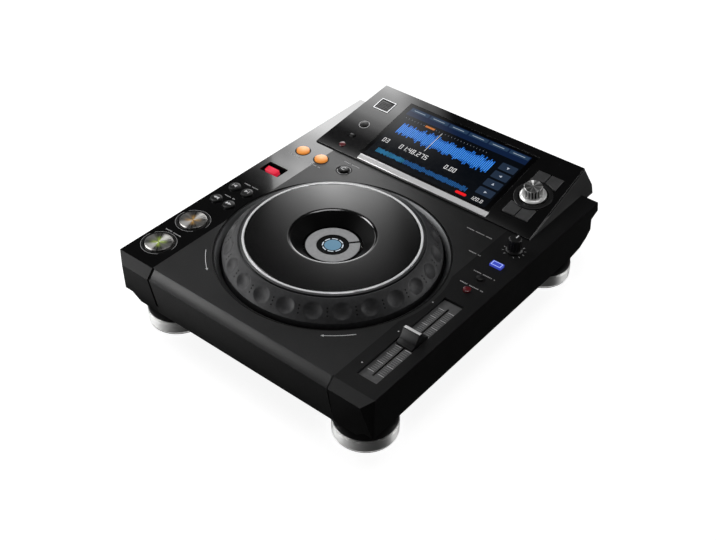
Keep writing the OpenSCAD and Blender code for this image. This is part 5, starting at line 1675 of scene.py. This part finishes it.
class PLAYER_OT_track_buttons(bpy.types.Operator):
    """Make the four black domes"""

    bl_idname = "player.track_buttons"
    bl_label = "Search and track"

    def execute(self, context):
        make_track_buttons()
        return {"FINISHED"}


class PLAYER_OT_loop_buttons(bpy.types.Operator):
    """Make the lit loop buttons and the reloop button"""

    bl_idname = "player.loop_buttons"
    bl_label = "Loop buttons"

    def execute(self, context):
        make_loop_buttons()
        return {"FINISHED"}


class PLAYER_OT_lever(bpy.types.Operator):
    """Make the red lit direction lever"""

    bl_idname = "player.lever"
    bl_label = "Direction lever"

    def execute(self, context):
        make_lever()
        return {"FINISHED"}


class PLAYER_OT_fader(bpy.types.Operator):
    """Make the tempo fader's scale and cap"""

    bl_idname = "player.fader"
    bl_label = "Tempo fader"

    def execute(self, context):
        make_fader()
        return {"FINISHED"}


class PLAYER_OT_right_controls(bpy.types.Operator):
    """Make the speed knob and the mode, range and hold buttons"""

    bl_idname = "player.right_controls"
    bl_label = "Right controls"

    def execute(self, context):
        make_right_controls()
        return {"FINISHED"}


class PLAYER_OT_pod(bpy.types.Operator):
    """Make the screen pod with its glass and bright strip"""

    bl_idname = "player.pod"
    bl_label = "Pod"

    def execute(self, context):
        make_pod()
        return {"FINISHED"}


class PLAYER_OT_screen_picture(bpy.types.Operator):
    """Make the generic picture on the screen"""

    bl_idname = "player.screen_picture"
    bl_label = "Screen picture"

    def execute(self, context):
        make_screen_picture()
        return {"FINISHED"}


class PLAYER_OT_port(bpy.types.Operator):
    """Make the memory port and its flap"""

    bl_idname = "player.port"
    bl_label = "Memory port"

    def execute(self, context):
        make_port()
        return {"FINISHED"}


class PLAYER_OT_pod_buttons(bpy.types.Operator):
    """Make the buttons and the slide switch on the pod's left"""

    bl_idname = "player.pod_buttons"
    bl_label = "Pod buttons"

    def execute(self, context):
        make_pod_buttons()
        return {"FINISHED"}


class PLAYER_OT_selector(bpy.types.Operator):
    """Make the turned selector and the keys round it"""

    bl_idname = "player.selector"
    bl_label = "Selector"

    def execute(self, context):
        make_selector()
        return {"FINISHED"}


class PLAYER_OT_deck_print(bpy.types.Operator):
    """Make the marks printed on the deck"""

    bl_idname = "player.deck_print"
    bl_label = "Deck marks"

    def execute(self, context):
        make_deck_print()
        return {"FINISHED"}


class PLAYER_OT_back(bpy.types.Operator):
    """Make the sockets, the mains inlet and the power button"""

    bl_idname = "player.back"
    bl_label = "Back"

    def execute(self, context):
        make_back()
        return {"FINISHED"}


class PLAYER_OT_inside(bpy.types.Operator):
    """Finish the boards inside the case"""

    bl_idname = "player.inside"
    bl_label = "Inside"

    def execute(self, context):
        make_inside()
        return {"FINISHED"}


STEPS = (PLAYER_OT_stage, PLAYER_OT_covers, PLAYER_OT_feet, PLAYER_OT_wheel, PLAYER_OT_display,
         PLAYER_OT_transport, PLAYER_OT_track_buttons, PLAYER_OT_loop_buttons, PLAYER_OT_lever,
         PLAYER_OT_fader, PLAYER_OT_right_controls, PLAYER_OT_pod, PLAYER_OT_screen_picture,
         PLAYER_OT_port, PLAYER_OT_pod_buttons, PLAYER_OT_selector, PLAYER_OT_deck_print,
         PLAYER_OT_back, PLAYER_OT_inside)


class PLAYER_PT_panel(bpy.types.Panel):
    """Lists the settings and the steps that make the player"""

    bl_label = "Tabletop player"
    bl_idname = "PLAYER_PT_panel"
    bl_space_type = "VIEW_3D"
    bl_region_type = "UI"
    bl_category = "Player"

    def draw(self, context):
        for group in (context.scene.player_sizes, context.scene.player_colours):
            box = self.layout.box()
            for name in group.__annotations__:
                box.prop(group, name)
        for step in STEPS:
            self.layout.operator(step.bl_idname)


CLASSES = (PlayerColours, PlayerSizes, *STEPS, PLAYER_PT_panel)


def register():
    """Registers the classes and the two groups of settings."""
    for cls in CLASSES:
        bpy.utils.register_class(cls)
    bpy.types.Scene.player_colours = PointerProperty(type=PlayerColours)
    bpy.types.Scene.player_sizes = PointerProperty(type=PlayerSizes)


def unregister():
    """Takes back what register() adds."""
    del bpy.types.Scene.player_sizes
    del bpy.types.Scene.player_colours
    for cls in reversed(CLASSES):
        bpy.utils.unregister_class(cls)


def main():
    """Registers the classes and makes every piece."""
    register()
    for step in STEPS:
        group, name = step.bl_idname.split(".")
        getattr(getattr(bpy.ops, group), name)()


if __name__ == "__main__":
    main()
